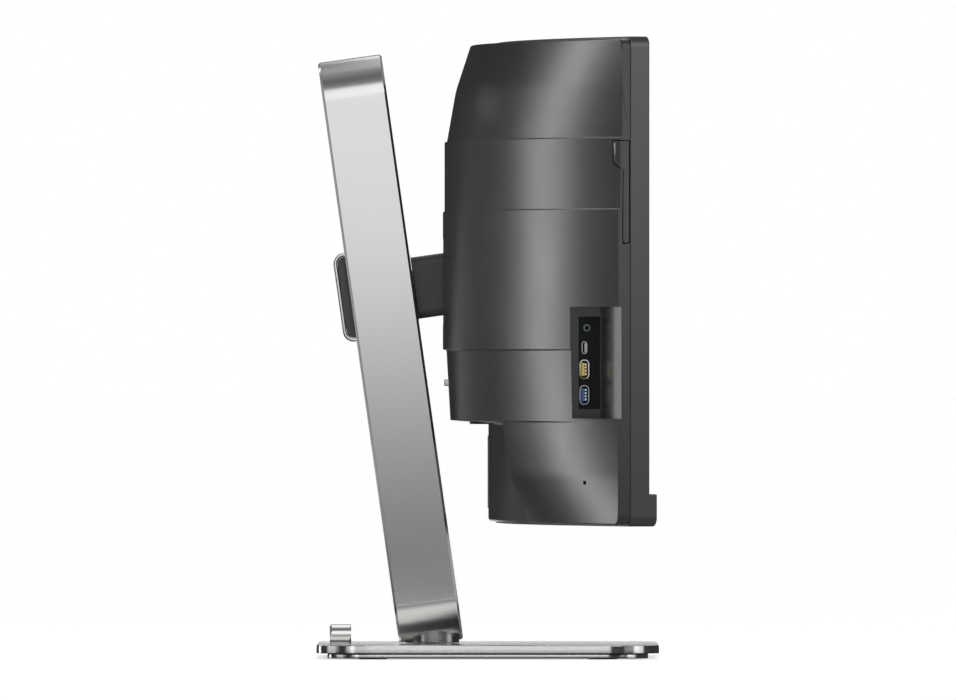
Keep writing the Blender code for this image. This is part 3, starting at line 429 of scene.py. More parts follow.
def polar(radius, angle):
    """X and Y on a circle about the screen's axis."""
    return radius * math.sin(angle), AXIS_Y + radius * math.cos(angle)


def tangent(radius, angle, height=0.0):
    """The matrix of a frame on the display's curve, whose -Y points at the axis."""
    x, y = polar(radius, angle)
    return Matrix.Translation((x, y, height)) @ Matrix.Rotation(-angle, 4, "Z")


def arc(centre, radii, start, end, steps):
    """Points along an ellipse between two angles in degrees."""
    turns = [math.radians(start + (end - start) * i / steps) for i in range(steps + 1)]
    return [(centre[0] + radii[0] * math.cos(t), centre[1] + radii[1] * math.sin(t)) for t in turns]


def oblong(half_width, half_height, corner, steps=8, centre=(0.0, 0.0)):
    """A rectangle with rounded corners."""
    points = []
    for turn, (sx, sy) in enumerate(((1, 1), (-1, 1), (-1, -1), (1, -1))):
        middle = (centre[0] + sx * (half_width - corner), centre[1] + sy * (half_height - corner))
        points += arc(middle, (corner, corner), 90 * turn, 90 * turn + 90, steps)
    return points


def filleted(points, sizes, steps=3):
    """A closed polyline of points of any dimension, each corner eased over its size; 0 keeps it."""
    made = []
    count = len(points)
    for i, (corner, size) in enumerate(zip(points, sizes)):
        if not size:
            made.append(corner)
            continue
        ends = []
        for other in (points[i - 1], points[(i + 1) % count]):
            span = math.dist(corner, other)
            share = min(size, span * 0.45) / span
            ends.append([c + share * (o - c) for c, o in zip(corner, other)])
        for k in range(steps + 1):
            t = k / steps
            first, middle, last = (1 - t) ** 2, 2 * t * (1 - t), t * t
            trios = zip(ends[0], corner, ends[1])
            made.append(tuple(first * a + middle * c + last * b for a, c, b in trios))
    return made


def spaced(half, halves=24):
    """Even steps from one side of the middle to the other."""
    return [half * (i / halves - 1) for i in range(2 * halves + 1)]


# ---- display: bezel and screen ----
def corner_sections(half_angle, radius, corner, edge, steps=84, corner_steps=10):
    """Angles across the display, each with how far the corner has dropped and the edge eased."""
    straight = half_angle - corner / radius
    places = [(straight * (2 * i / steps - 1), 0.0, 0.0) for i in range(steps + 1)]
    ends = []
    for i in range(1, corner_steps + 1):
        turn = math.pi / 2 * i / corner_steps
        along, drop = corner * math.sin(turn), corner * (1 - math.cos(turn))
        late = max(along - (corner - edge), 0.0)
        ends.append((straight + along / radius, drop, edge - math.sqrt(max(edge**2 - late**2, 0.0))))
    left = [(-angle, drop, ease) for angle, drop, ease in reversed(ends)]
    return left + places + ends


def rounded_slab_bm(near, far, low, high, half_angle, corner, edge=0.0003, round_bottom=True):
    """A curved plate with rounded corners, as a loft of upright sections."""
    sections = []
    for angle, drop, ease in corner_sections(half_angle, near, corner, edge):
        bottom = low + (drop if round_bottom else 0.0) + ease
        top = high - drop - ease
        profile = ((near + ease, bottom), (near + ease, top), (far - ease, top), (far - ease, bottom))
        sections.append([(*polar(r, angle), z) for r, z in profile])
    return loft_bm(sections)


def build_bezel():
    """The frame round the screen, with its deeper chin and the keys' holes below."""
    low, high = BEZEL_LOW[2], BEZEL_HIGH[2]
    edge, fine_edge = 0.001, 0.0005
    sections = []
    for angle, drop, ease in corner_sections(HALF_ANGLE, SCREEN_RADIUS, CORNER, 0.0009):
        bottom, top = low + drop + ease, high - drop - ease
        chin, front, back = CHIN_RADIUS + ease, SCREEN_RADIUS + ease, SEAM_RADIUS - ease
        profile = [(chin, bottom), (chin, CHIN_TOP - ease), (front, CHIN_TOP - ease)]
        profile += [(front, top), (back, top), (back, bottom)]
        soft = filleted(profile, (edge * 1.6, edge, 0.0004, edge, fine_edge, fine_edge), 4)
        sections.append([(*polar(r, angle), z) for r, z in soft])
    bezel = piece("bezel_frame", loft_bm(sections), BEZEL, "display", ("front_bezel",))
    half = HALF_ANGLE - BEZEL_WALL / SCREEN_RADIUS
    ahead, past_seam, chin_seam = 1.785, 1.8162, 1.8165  # radii that the cutters start and end at
    window = rounded_slab_bm(
        ahead, past_seam, CHIN_TOP, high - BEZEL_WALL, half, CORNER - BEZEL_WALL, 0.0, False
    )
    behind_chin = rounded_slab_bm(
        CHIN_RADIUS + 0.0025, chin_seam, low + BEZEL_WALL, CHIN_TOP + 0.001, half, 0.004, 0.0
    )
    chin_roof = rounded_slab_bm(
        CHIN_RADIUS + 0.001, SCREEN_RADIUS + 0.002, CHIN_TOP - 0.002, CHIN_TOP - 1e-5,
        HALF_ANGLE - 0.0005, 0.001, 0.0,
    )
    space = helper("chin_space", behind_chin)
    cut(space, chin_roof=chin_roof)
    holes = bmesh.new()
    for number in KEYS:
        hole = rounded(box_bm((-0.0056, -0.0024, -0.004), (0.0056, 0.0024, 0.004)), 0.0008, 2)
        add_copy(holes, hole, key_place(number))
    cut(bezel, helper("bezel_window", window), space, key_holes=holes)


def add_copy(bm, part, where=Matrix()):
    """Adds a mesh to another as a separate body."""
    part.transform(where)
    mesh = bpy.data.meshes.new("copy")
    part.to_mesh(mesh)
    part.free()
    bm.from_mesh(mesh)
    bpy.data.meshes.remove(mesh)


def key_place(number):
    """The frame of a key, on the chin's underside."""
    low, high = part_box(f"menu_key_{number}")
    x, y = (low[0] + high[0]) / 2, (low[1] + high[1]) / 2
    return Matrix.Translation((x, y, BEZEL_LOW[2])) @ Matrix.Rotation(-math.atan2(x, y - AXIS_Y), 4, "Z")


def build_screen():
    """The panel's front sheet, with the black border that frames its picture area."""
    wall = BEZEL_WALL / SCREEN_RADIUS + 0.0002 / SCREEN_RADIUS
    near, gap = SCREEN_RADIUS + 0.0006, 0.0003
    low, high = CHIN_TOP + gap, BEZEL_HIGH[2] - BEZEL_WALL - gap
    half = HALF_ANGLE - wall
    bm = rounded_slab_bm(near, near + 0.0018, low, high, half, CORNER - BEZEL_WALL, 0.0002, False)
    piece("screen_panel", bm, SCREEN, "display", ("lcd_panel",))
    film = rounded_slab_bm(
        near - 0.00012, near - 2e-5, low + gap, high - gap, half - 0.0002, 0.0045, 0.0, False
    )
    border = piece("screen_border", film, BLACK, "display")
    picture = rounded_slab_bm(
        near - 0.01, near + 0.01, low + 0.0007, PICTURE_TOP, PICTURE_HALF_ANGLE, 0.001, 0.0, False
    )
    cut(border, picture_area=picture)


def build_keys():
    """Each a cap, a flange inside the chin and a dash to feel for."""
    for number in KEYS:
        bm = rounded(box_bm((-0.005, -0.0019, -0.0011), (0.005, 0.0019, 0.0024)), 0.0006, 3)
        dash = box_bm((-0.0016, -0.00035, -0.00125), (0.0016, 0.00035, -0.0009))
        add_copy(bm, box_bm((-0.0068, -0.0019, 0.0026), (0.0068, 0.0019, 0.004)))
        add_copy(bm, rounded(dash, 0.00012, 2))
        name = f"menu_key_{number}"
        piece(f"key_cap_{number}", bm, BLACK, name, (name,), key_place(number))


# ---- display: rear cover ----
def cover_y(x, row):
    """The rear surface's Y: at each height the plan is an arc from end to end."""
    _, middle, end = row
    sagitta = middle - end
    radius = (COVER_REAR_HALF**2 + sagitta**2) / (2 * sagitta)
    return middle - radius + math.sqrt(radius**2 - x**2)


def fine_rows():
    """The cover's rows, their steps eased and their long stretches divided."""
    rows = [COVER_ROWS[0]]
    for i in range(1, len(COVER_ROWS) - 1):
        before, here, after = COVER_ROWS[i - 1 : i + 2]
        size = 0.0045 if here[0] in SOFT_BENDS else 0.0004
        rows += filleted([before, here, after], (0, size, 0), 4)[1:-1]
    rows.append(COVER_ROWS[-1])
    fine, longest = [rows[0]], 0.01
    for one, two in zip(rows, rows[1:]):
        parts = max(1, math.ceil((two[0] - one[0]) / longest))
        fine += [tuple(a + (b - a) * k / parts for a, b in zip(one, two)) for k in range(1, parts + 1)]
    return fine


def cover_columns(corner_steps=7, spacing=0.0075):
    """Shares of the half width, finer where the corners turn, with how far each has dropped."""
    straight = COVER_REAR_HALF - CORNER
    count = round(2 * straight / spacing)
    middle = [(straight * (2 * i / count - 1), 0.0) for i in range(count + 1)]
    turns = [math.pi / 2 * i / corner_steps for i in range(1, corner_steps + 1)]
    ends = [(straight + CORNER * math.sin(t), CORNER * (1 - math.cos(t))) for t in turns]
    return [(-x, drop) for x, drop in reversed(ends)] + middle + ends


def cover_body_bm(inset=0.0):
    """The cover's outer body, or the coarser space inside it."""
    if inset:
        rows = [list(row) for row in COVER_ROWS]
        rows[0][0] += inset
        rows[-1][0] -= inset
        columns = [(x, 0.0) for x in spaced(COVER_REAR_HALF - COVER_END)]
        front, spread, least_depth = SEAM_RADIUS - 0.0017, 0.0, 0.002
    else:
        rows, columns = fine_rows(), cover_columns()
        front, spread, least_depth = SEAM_RADIUS + 0.0003, COVER_FRONT_HALF - COVER_REAR_HALF, 0.003
    low, high, reach = rows[0][0], rows[-1][0], 0.01

    def lowered(z, drop):
        """A height near the top or the bottom, moved inwards as the corner turns."""
        if z > high - reach:
            return high - reach + (z - high + reach) * (reach - drop) / reach
        if z < low + reach:
            return low + reach - (low + reach - z) * (reach - drop) / reach
        return z

    sections = []
    for x, drop in columns:
        share = x / COVER_REAR_HALF
        front_x = x + share * spread
        front_y = AXIS_Y + math.sqrt(front**2 - front_x**2)
        rear = []
        for row in rows:
            y = max(cover_y(x, row) - inset, front_y + least_depth)
            flare = share * spread * (REAR_EDGE_Y - row[2]) / FLARE_DEPTH
            rear.append((x + flare, y, lowered(row[0], drop)))
        ring = [(front_x, front_y, rear[0][2]), *rear, (front_x, front_y, rear[-1][2])]
        if not inset:
            ring = filleted(ring, [0.0003, 0.001, *[0] * (len(ring) - 4), 0.0012, 0.0003], 3)
        sections.append(ring)
    bm = loft_bm(sections)
    if not inset:
        most_sides = 8  # only the two end caps have more
        rims = [e for f in bm.faces if len(f.verts) > most_sides for e in f.edges]
        rounded(bm, 0.00045, 3, edges=list(set(rims)))
    return bm


def bay_bm(grow):
    """The connector bay below the ledge, open downwards and backwards; grow gives it walls."""
    low, near, far = COVER_LOW[2] - (0.02 if grow else 0.01), BAY_FLOOR_RADIUS - grow, 1.9
    sections = []
    for angle in spaced(BAY_HALF_ANGLE + grow / SCREEN_RADIUS):
        rise = [LEDGE_Z + LEDGE_SLOPE * (r - BAY_FLOOR_RADIUS) + grow for r in (near, far)]
        profile = [(near, low), (near, rise[0]), (far, rise[1]), (far, low)]
        if not grow:
            profile = filleted(profile, (0, 0.0012, 0, 0), 4)
        sections.append([(*polar(r, angle), z) for r, z in profile])
    return loft_bm(sections)


def pocket_bm(grow):
    """The side pocket in plan: its end wall, its ramped floor, and open space behind the cover."""
    (rx, ry), (fx, fy), (mx, my), (ex, ey) = POCKET_WALL_REAR, POCKET_WALL_FRONT, POCKET_RAMP, POCKET_EXIT
    slope = (rx - fx) / (ry - fy)
    behind = -0.03
    outline = [(rx + slope * (behind - ry) + grow, behind), (fx + grow, fy - grow), (mx, my - grow)]
    outline += [(ex, ey - grow), (ex, behind)]
    if not grow:
        outline = filleted(outline, (0, 0.0012, 0.016, 0, 0), 8)
    return flat_bm([outline], POCKET_LOW - grow, POCKET_HIGH + grow)


def pocket_tub_bm():
    """The deep end of the pocket's floor, which bulges forwards past the cover's open front."""
    (fx, fy), (mx, my), wall, share = POCKET_WALL_FRONT, POCKET_RAMP, 0.0022, 0.6
    end_x, end_y, near_x = fx + share * (mx - fx), fy + share * (my - fy), fx + 0.0019
    outline = [(near_x, fy + 0.009), (near_x, fy - wall), (end_x, end_y - wall), (end_x, end_y + 0.006)]
    return flat_bm([outline], POCKET_LOW - 0.0018, POCKET_HIGH + 0.0018)


def hook_bm(grow, deeper):
    """The headset hook's outline along X, with an inner face that follows the cover's corner."""
    front, mid, rear = -0.1063 - grow, -0.1018 + grow, -0.0945 + grow
    low, neck, shoulder, top = 0.3175 - grow, 0.372, 0.3784 - grow, 0.3943 + grow
    end = (mid - front) / 2
    lower = arc(((front + mid) / 2, low + end), (end, end), 180, 360, 14)
    upper = [(mid, neck), (rear, shoulder), (rear, top), (front, top)]
    outline = lower + filleted(upper, (0.0015, 0.0012, 0.0012, 0.0006), 4)
    outer, inner, skin_x, skin_y, slope = -0.62, -0.58, -0.59, -0.1067, 0.98
    bm = flat_bm([outline], outer, inner, "YZ")
    for vertex in bm.verts:
        if vertex.co.x > (outer + inner) / 2:
            vertex.co.x = skin_x + deeper + slope * (vertex.co.y - skin_y)
    return bm


def port_place():
    """The frame of the side ports, on the pocket's end wall."""
    (rx, ry), (fx, fy) = POCKET_WALL_REAR, POCKET_WALL_FRONT
    y = -0.077
    x = fx + (rx - fx) * (y - fy) / (ry - fy)
    turn = math.pi - math.atan2(rx - fx, ry - fy)
    return Matrix.Translation((x, y, 0.0)) @ Matrix.Rotation(turn, 4, "Z")


def lock_place():
    """The frame of the security slot, on the cover's surface."""
    x, z, step = -0.528, 0.1367, 0.001
    low, high = COVER_ROWS[0], COVER_ROWS[1]
    share = (z - low[0]) / (high[0] - low[0])
    row = [a + share * (b - a) for a, b in zip(low, high)]
    y = cover_y(x, row)
    turn = math.atan((cover_y(x + step, row) - y) / step)
    return Matrix.Translation((x, y, z)) @ Matrix.Rotation(turn, 4, "Z")


def cover_holes_bm():
    """The security slot, release button's opening, bay's ports and vents."""
    holes = bmesh.new()
    lock = rounded(box_bm((-0.0035, -0.01, -0.0015), (0.0035, 0.01, 0.0015)), 0.0007, 3)
    add_copy(holes, lock, lock_place())
    low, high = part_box("quick_release_button")
    middle = (low[2] + high[2]) / 2
    button = box_bm((-0.0104, 0.02, middle - 0.0029), (0.0104, 0.05, middle + 0.0058))
    add_copy(holes, rounded(button, 0.0009, 3))
    gap = 0.0003
    for _, angle, half_x, half_y in BAY_PORTS:
        port = box_bm((-half_x - gap, -half_y - gap, -0.004), (half_x + gap, half_y + gap, 0.0052))
        add_copy(holes, port, tangent(BAY_PORT_RADIUS, math.radians(angle), LEDGE_Z))
    for side in (-1, 1):
        for count, first, spacing, half_length, reach, radius, height in VENTS:
            for i in range(count):
                vent = flat_bm([oblong(half_length, 0.00175, 0.0017, 4)], -reach, reach)
                angle = side * VENT_STEP * (first + spacing * i)
                add_copy(holes, vent, tangent(radius, angle, height))
    return holes


def build_rear_cover():
    """The hollow cover and the headset hook that lies in its corner."""
    cover = piece("cover_shell", cover_body_bm(), COVER, "display", ("rear_cover",))
    hook_skin = helper("hook_skin", cover_body_bm())
    wall = COVER_WALL
    half_x, half_z = 0.028, 0.0335  # the stand's socket
    inside = helper("cover_inside", cover_body_bm(wall))
    outside_low = (-half_x - wall, -0.003, HINGE_Z - half_z - wall)
    outside_high = (half_x + wall, 0.05, HINGE_Z + half_z + wall)
    outside = box_bm(outside_low, outside_high)
    cut(inside, bay_outside=bay_bm(wall), pocket_outside=pocket_bm(wall), socket_outside=outside)
    socket = flat_bm([oblong(half_x, half_z, 0.005, 8, (0.0, HINGE_Z))], -0.012, 0.05, "XZ")
    window = box_bm((-0.006, -0.0088, PORT_PANEL_LOW), (0.002, 0.0081, PORT_PANEL_HIGH), port_place())
    pivot = rod_bm(0.0049, -0.1073, -0.1015, (HOOK_X, HOOK_Z), "Y", 32)
    cut(
        cover, inside, bay=bay_bm(0.0), hook_pocket=hook_bm(0.0007, 0.0008), hook_pivot_space=pivot,
        stand_socket=socket, cover_holes=cover_holes_bm(),
    )
    boolean(cover, helper("pocket_tub", pocket_tub_bm()), operation="UNION")
    cut(cover, pocket=pocket_bm(0.0), port_window=window)
    bm = hook_bm(0.0, 0.0)
    hook = piece("hook_lever", bm, COVER, "headset_hook", ("headset_hook",))
    boolean(hook, hook_skin, operation="INTERSECT")


def port_outline(half_width, half_height, corner, z, steps=10):
    """A rounded outline in the port plate's plane."""
    return oblong(half_width, half_height, corner, steps, (SIDE_PORT_Y, z))


def build_usb_a(name, z, paint, where):
    """A socket's shell, back, tongue and four contacts; gives back the plate's opening."""
    y = SIDE_PORT_Y
    ring = [port_outline(0.0038, 0.0074, 0.0034, z), port_outline(0.003, 0.0066, 0.0026, z)]
    shell = rounded(flat_bm(ring, -0.0118, 0.0006, "YZ"), 0.00015, 2, 60)
    piece(f"{name}_shell", shell, SHELL_METAL, "display", (name,), where)
    back = flat_bm([port_outline(0.0029, 0.0065, 0.0025, z, 6)], -0.0117, -0.0105, "YZ")
    piece(f"{name}_back", back, PANEL, "display", (), where)
    tongue = rounded(box_bm((-0.0104, y - 0.0027, z - 0.005), (-0.0004, y - 0.0003, z + 0.005)), 0.0002, 2)
    piece(f"{name}_tongue", tongue, paint, "display", (), where)
    contacts, spacing, half = bmesh.new(), 0.0024, 0.00075
    for i in range(4):
        middle = z - 0.0036 + spacing * i
        pad = box_bm((-0.0104, y - 0.00025, middle - half), (-0.0006, y + 0.0013, middle + half))
        add_copy(contacts, rounded(pad, 0.00015, 2))
    piece(f"{name}_contacts", contacts, SHELL_METAL, "display", (), where)
    return flat_bm([port_outline(0.0042, 0.0078, 0.0038, z)], *PLATE_CUT, "YZ")


def build_usb_c(where):
    y, z = SIDE_PORT_Y, USB_C_Z
    ring = [port_outline(0.00205, 0.0047, 0.002, z), port_outline(0.0016, 0.00425, 0.00155, z)]
    shell = rounded(flat_bm(ring, -0.0098, 0.0005, "YZ"), 0.00015, 2, 60)
    piece("usb_c_shell", shell, SHELL_METAL, "display", ("usb_c_port",), where)
    tongue = box_bm((-0.0092, y - 0.00035, z - 0.0033), (-0.001, y + 0.00035, z + 0.0033))
    piece("usb_c_tongue", rounded(tongue, 0.0001, 2), SHELL_METAL, "display", (), where)
    return flat_bm([port_outline(0.00235, 0.005, 0.0023, z, 8)], *PLATE_CUT, "YZ")


def build_jack(where):
    y, z = SIDE_PORT_Y + 0.0018, JACK_Z
    collar = [(0.0028, 0.0004), (0.0028, -0.006), (0.0023, -0.006), (0.0023, 0.0002), (0.0025, 0.0004)]
    bore = [(0.0022, -0.0003), (0.0022, -0.0118), (0.00175, -0.0118)]
    bore += [(0.00175, -0.0006), (0.0019, -0.0003)]
    turn = where @ Matrix.Translation((0.0, y, z)) @ Matrix.Rotation(math.pi / 2, 4, "Y")
    bm = turned_bm(collar, (0, 0, 0), True, 40)
    piece("jack_collar", bm, GREEN, "display", ("audio_jack",), turn)
    piece("jack_bore", turned_bm(bore, (0, 0, 0), True, 40), ZINC, "display", (), turn)
    return rod_bm(0.0033, *PLATE_CUT, (y, z), "X", 40)


def build_side_ports():
    """The port plate and, from the lowest up, the sockets in it."""
    where = port_place()
    low = (-0.0024, -0.0085, PORT_PANEL_LOW + 0.0003)
    plate = box_bm(low, (-0.0004, 0.0078, PORT_PANEL_HIGH - 0.0003))
    panel = piece("port_plate", plate, PANEL, "display", ("side_port_panel",), where)
    openings = (
        build_usb_a("usb_a_port_lower", USB_A_LOWER_Z, BLUE, where),
        build_usb_a("usb_a_port_upper", USB_A_UPPER_Z, YELLOW, where),
        build_usb_c(where),
        build_jack(where),
    )
    holes = bmesh.new()
    for opening in openings:
        add_copy(holes, opening)
    cut(panel, where=where, port_holes=holes)


def build_bay():
    """The sockets in the bay's ledge, and the blank label on its floor."""
    for name, angle, half_x, half_y in BAY_PORTS:
        where = tangent(BAY_PORT_RADIUS, math.radians(angle), LEDGE_Z)
        inlet = name == "ac_inlet"
        wall, depth, corner = (0.0018, 0.017, 0.003) if inlet else (0.0007, 0.01, 0.0009)
        paint, slot = (BLACK, "black_plastic") if inlet else (SHELL_METAL, "zinc_steel")
        bm = flat_bm([oblong(half_x, half_y, corner, 6)], -0.0002, depth + 0.003)
        body = piece(f"{name}_body", bm, paint, "display", (name,), where)
        outline = oblong(half_x - wall, half_y - wall, corner * 0.7, 6)
        boolean(body, helper(f"{name}_cavity", flat_bm([outline], -0.001, depth), where))
        contacts, deep = bmesh.new(), depth + 0.001
        if inlet:
            for x, y in ((-0.007, 0.0015), (0.007, 0.0015), (0.0, -0.0025)):
                pin = box_bm((x - 0.001, y - 0.002, 0.003), (x + 0.001, y + 0.002, deep))
                add_copy(contacts, rounded(pin, 0.0004, 2))
        else:
            tongue = box_bm((-half_x + 0.002, -0.0005, 0.001), (half_x - 0.002, 0.0005, deep))
            add_copy(contacts, rounded(tongue, 0.0001, 1))
        metal = SHELL_METAL if inlet else BLACK
        piece(f"{name}_contacts", contacts, metal, "display", (), where)
    near = BAY_FLOOR_RADIUS + 0.0003
    bm = rounded_slab_bm(near, near + 0.0003, LABEL_LOW, LABEL_HIGH, LABEL_HALF_ANGLE, 0.002, 5e-5)
    piece("blank_label", bm, LABEL_FILM, "display", ("rating_label",))


# ---- stand ----
COLUMN = Matrix.Translation(COLUMN_FOOT) @ Matrix.Rotation(-LEAN, 4, "X")
CARRIAGE = COLUMN @ Matrix.Translation((0.0, 0.0, LIFT_REST))


def ring_outline(inset, steps=40):
    """The column's outline seen from the front, moved inwards: straight sides and elliptical ends."""
    radii = (LOOP_HALF - inset, LOOP_END - inset)
    lower = arc((0.0, LOOP_END), radii, 180, 360, steps)
    return lower + arc((0.0, LOOP_HEIGHT - LOOP_END), radii, 0, 180, steps)


def loop_bm():
    """A flat band bent into a closed ring, its outer edges cut at 45 degrees and polished."""
    outer, inner = ring_outline(0.0), ring_outline(LOOP_WALL)
    half, cut, ease, inner_ease = LOOP_DEPTH / 2, 0.00165, 0.00025, 0.0011
    sections = []
    for (ox, oz), (ix, iz) in zip(outer, inner):
        share = cut / math.dist((ox, oz), (ix, iz))
        cx, cz = ox + share * (ix - ox), oz + share * (iz - oz)
        corners = [(cx, -half, cz), (ox, -half + cut, oz), (ox, half - cut, oz), (cx, half, cz)]
        corners += [(ix, half, iz), (ix, -half, iz)]
        sections.append(filleted(corners, (ease, ease, ease, ease, inner_ease, inner_ease), 4))
    return loft_bm(sections, closed=True)


def build_column():
    """The column's band, cut to fit the base and the hub, and the hub."""
    loop = piece("loop_band", loop_bm(), ALUMINIUM, "column", ("column_loop",), COLUMN)
    hub_space = rod_bm(HUB_HIGH[0] + 0.0004, 0.0, 0.025, (0.0, HUB_Y), sides=96)
    trim = box_bm((-0.1, -0.05, -0.02), (0.1, 0.15, BASE_HIGH[2] + 0.0008))
    cut(loop, loop_trim=trim, hub_space=hub_space)
    top, neck, radius, edge = 0.0246, 0.009, HUB_HIGH[0], 0.0006
    height, bottom = HUB_HIGH[2], HUB_LOW[2]
    profile = [(0.0, height), (neck - edge, height), (neck, height - edge), (neck, top)]
    profile += [(radius - edge, top), (radius, top - edge)]
    profile += [(radius, bottom + edge), (radius - edge, bottom), (0.0, bottom)]
    hub = turned_bm(profile, (0.0, HUB_Y, 0.0))
    piece("hub_turned", hub, HUB_METAL, "base", ("swivel_hub",))


def base_slab_bm(low, high, corner, edge):
    """A rounded plate that fills a box."""
    bm = flat_bm([oblong(high[0], high[1], corner, 24)], low[2], high[2])
    return rounded(bm, edge, 3, 60)


def build_base():
    """The base's plate and the weight under it, with its wells for the feet."""
    bm = base_slab_bm(BASE_LOW, BASE_HIGH, 0.045, 0.0005)
    plate = piece("base_plate", bm, BASE_METAL, "base", ("base_top_plate",))
    cut(plate, screw_bore=rod_bm(0.0045, 0.0, 0.02, (0.0, HUB_Y)))
    bm = base_slab_bm(WEIGHT_LOW, WEIGHT_HIGH, 0.0366, 0.0006)
    weight = piece("weight_plate", bm, BASE_METAL, "base", ("base_weight_plate",))
    wells = rod_bm(0.016, 0.0, 0.02, (0.0, HUB_Y))
    for name in FEET.split():
        low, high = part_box(name)
        centre = ((low[0] + high[0]) / 2, (low[1] + high[1]) / 2)
        add_copy(wells, rod_bm(0.0113, -0.001, 0.0023, centre))
    cut(weight, base_wells=wells)


def build_cable_ring():
    """A split ring, open at its upper right for a cable, with softened edges."""
    outer, inner = 0.0085, 0.0063
    centre, foot = (0.0, RING_HIGH[2] - outer), RING_LOW[2]
    corner = math.degrees(math.asin((centre[1] - foot) / outer))
    outline = arc(centre, (outer, outer), 52, 180 + corner, 40)
    outline += arc(centre, (outer, outer), 360 - corner, 385, 16)
    outline += arc(centre, (inner, inner), 385, 360, 6)[:-1]
    outline += arc(centre, (inner, inner), 360, 52, 60)
    bm = flat_bm([outline], RING_LOW[1], RING_HIGH[1], "XZ")
    rounded(bm, 0.0009, 4, 50, clamp=False)
    piece("cable_ring", bm, BASE_METAL, "base", ("base_cable_ring",))


def build_arm():
    """The arm's shell, from the column to the display's socket."""
    half_x, half_z, wall = 0.0235, 0.0238, 0.0022
    back, front = -LOOP_DEPTH / 2 - 0.0004, -0.058
    bm = flat_bm([oblong(half_x, half_z, 0.0062, 12)], -back, -front)
    bm.transform(Matrix.Rotation(math.pi / 2, 4, "X"))
    rounded(bm, 0.0006, 3, 60)
    shell = piece("arm_cover", bm, ARM, "carriage", ("arm_shell",), CARRIAGE)
    inside_high = (half_x - wall, back - wall, half_z - wall)
    inside = box_bm((-half_x + wall, front - 0.01, -half_z + wall), inside_high)
    hole = box_bm((-0.0125, -0.04, -0.0143), (0.0125, -0.02, 0.0143))
    cut(shell, where=CARRIAGE, arm_inside=inside, beam_hole=hole)


def cap_outline(inset, near, steps=14):
    """The rear cap's outline seen from the side, moved inwards."""
    end, half, corner = 0.0343, 0.0344, 0.0084
    far, top, soft = end - inset, half - inset, corner - inset
    upper = arc((far - soft, top - soft), (soft, soft), 90, 0, steps)
    return [(near, top), *upper, *((y, -z) for y, z in reversed(upper)), (near, -top)]


def build_rear_cap():
    """The cap behind the column: a bright rim bent round a dark core."""
    start, rim = LOOP_DEPTH / 2 + 0.0004, 0.0028
    half, core_half, edge, sections = 0.02, 0.0194, 0.0011, []
    for outer, inner in zip(cap_outline(0.0, start), cap_outline(rim, start)):
        corners = [(-half, *outer), (half, *outer), (half, *inner), (-half, *inner)]
        sections.append(filleted(corners, (edge, edge, edge, edge), 5))
    bm = loft_bm(sections)
    piece("cap_rim", bm, POLISHED, "carriage", ("carriage_trim",), CARRIAGE)
    bm = flat_bm([cap_outline(rim + 0.0003, start)], -core_half, core_half, "YZ")
    rounded(bm, 0.0005, 3, 60)
    piece("cap_core", bm, ARM, "carriage", ("carriage_rear_cap",), CARRIAGE)


def build_release_button():
    """The latch's tab below the arm, and the plate behind it."""
    low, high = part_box("quick_release_button")
    half_x, half_z, plate_half_z, middle = 0.01, 0.00255, 0.006, (low[2] + high[2]) / 2
    tab = box_bm((-half_x, low[1] + 0.0018, middle - half_z), (half_x, high[1], middle + half_z))
    bm = rounded(tab, 0.0007, 3)
    plate_high = (half_x, low[1] + 0.0016, middle + plate_half_z)
    add_copy(bm, box_bm((-half_x, low[1], middle - plate_half_z), plate_high))
    piece("release_latch", bm, POLISHED, "release_button", ("quick_release_button",))


def level_shading():
    """Keeps the flats flat beside their narrow rounded edges."""
    for obj in PIECES:
        obj.modifiers.new("face_weights", "WEIGHTED_NORMAL").keep_sharp = True


def paint_frame():
    """The CAD nodes that stay in view, or inside, in their finished materials."""
    finishes = {
        ZINC: "base_thumbscrew swivel_nut column_foot rail_left rail_right rail_head_bracket "
        "carriage_body drum_axle arm_beam tilt_shaft tilt_bracket mount_plate rear_chassis led_strip",
        SPRING: "lift_spring spring_drum",
        NYLON: "glide_left glide_right swivel_washer tilt_washer_left tilt_washer_right",
        RUBBER: FEET,
        BLACK: "column_front_cover column_rear_cover speaker_left speaker_right",
        BOARD: "main_board power_board side_port_board",
        ACRYLIC: "light_guide",
    }
    for paint, names in finishes.items():
        for name in names.split():
            for slot in frame["nodes"][name].material_slots:
                slot.link = "OBJECT"
                slot.material = paint


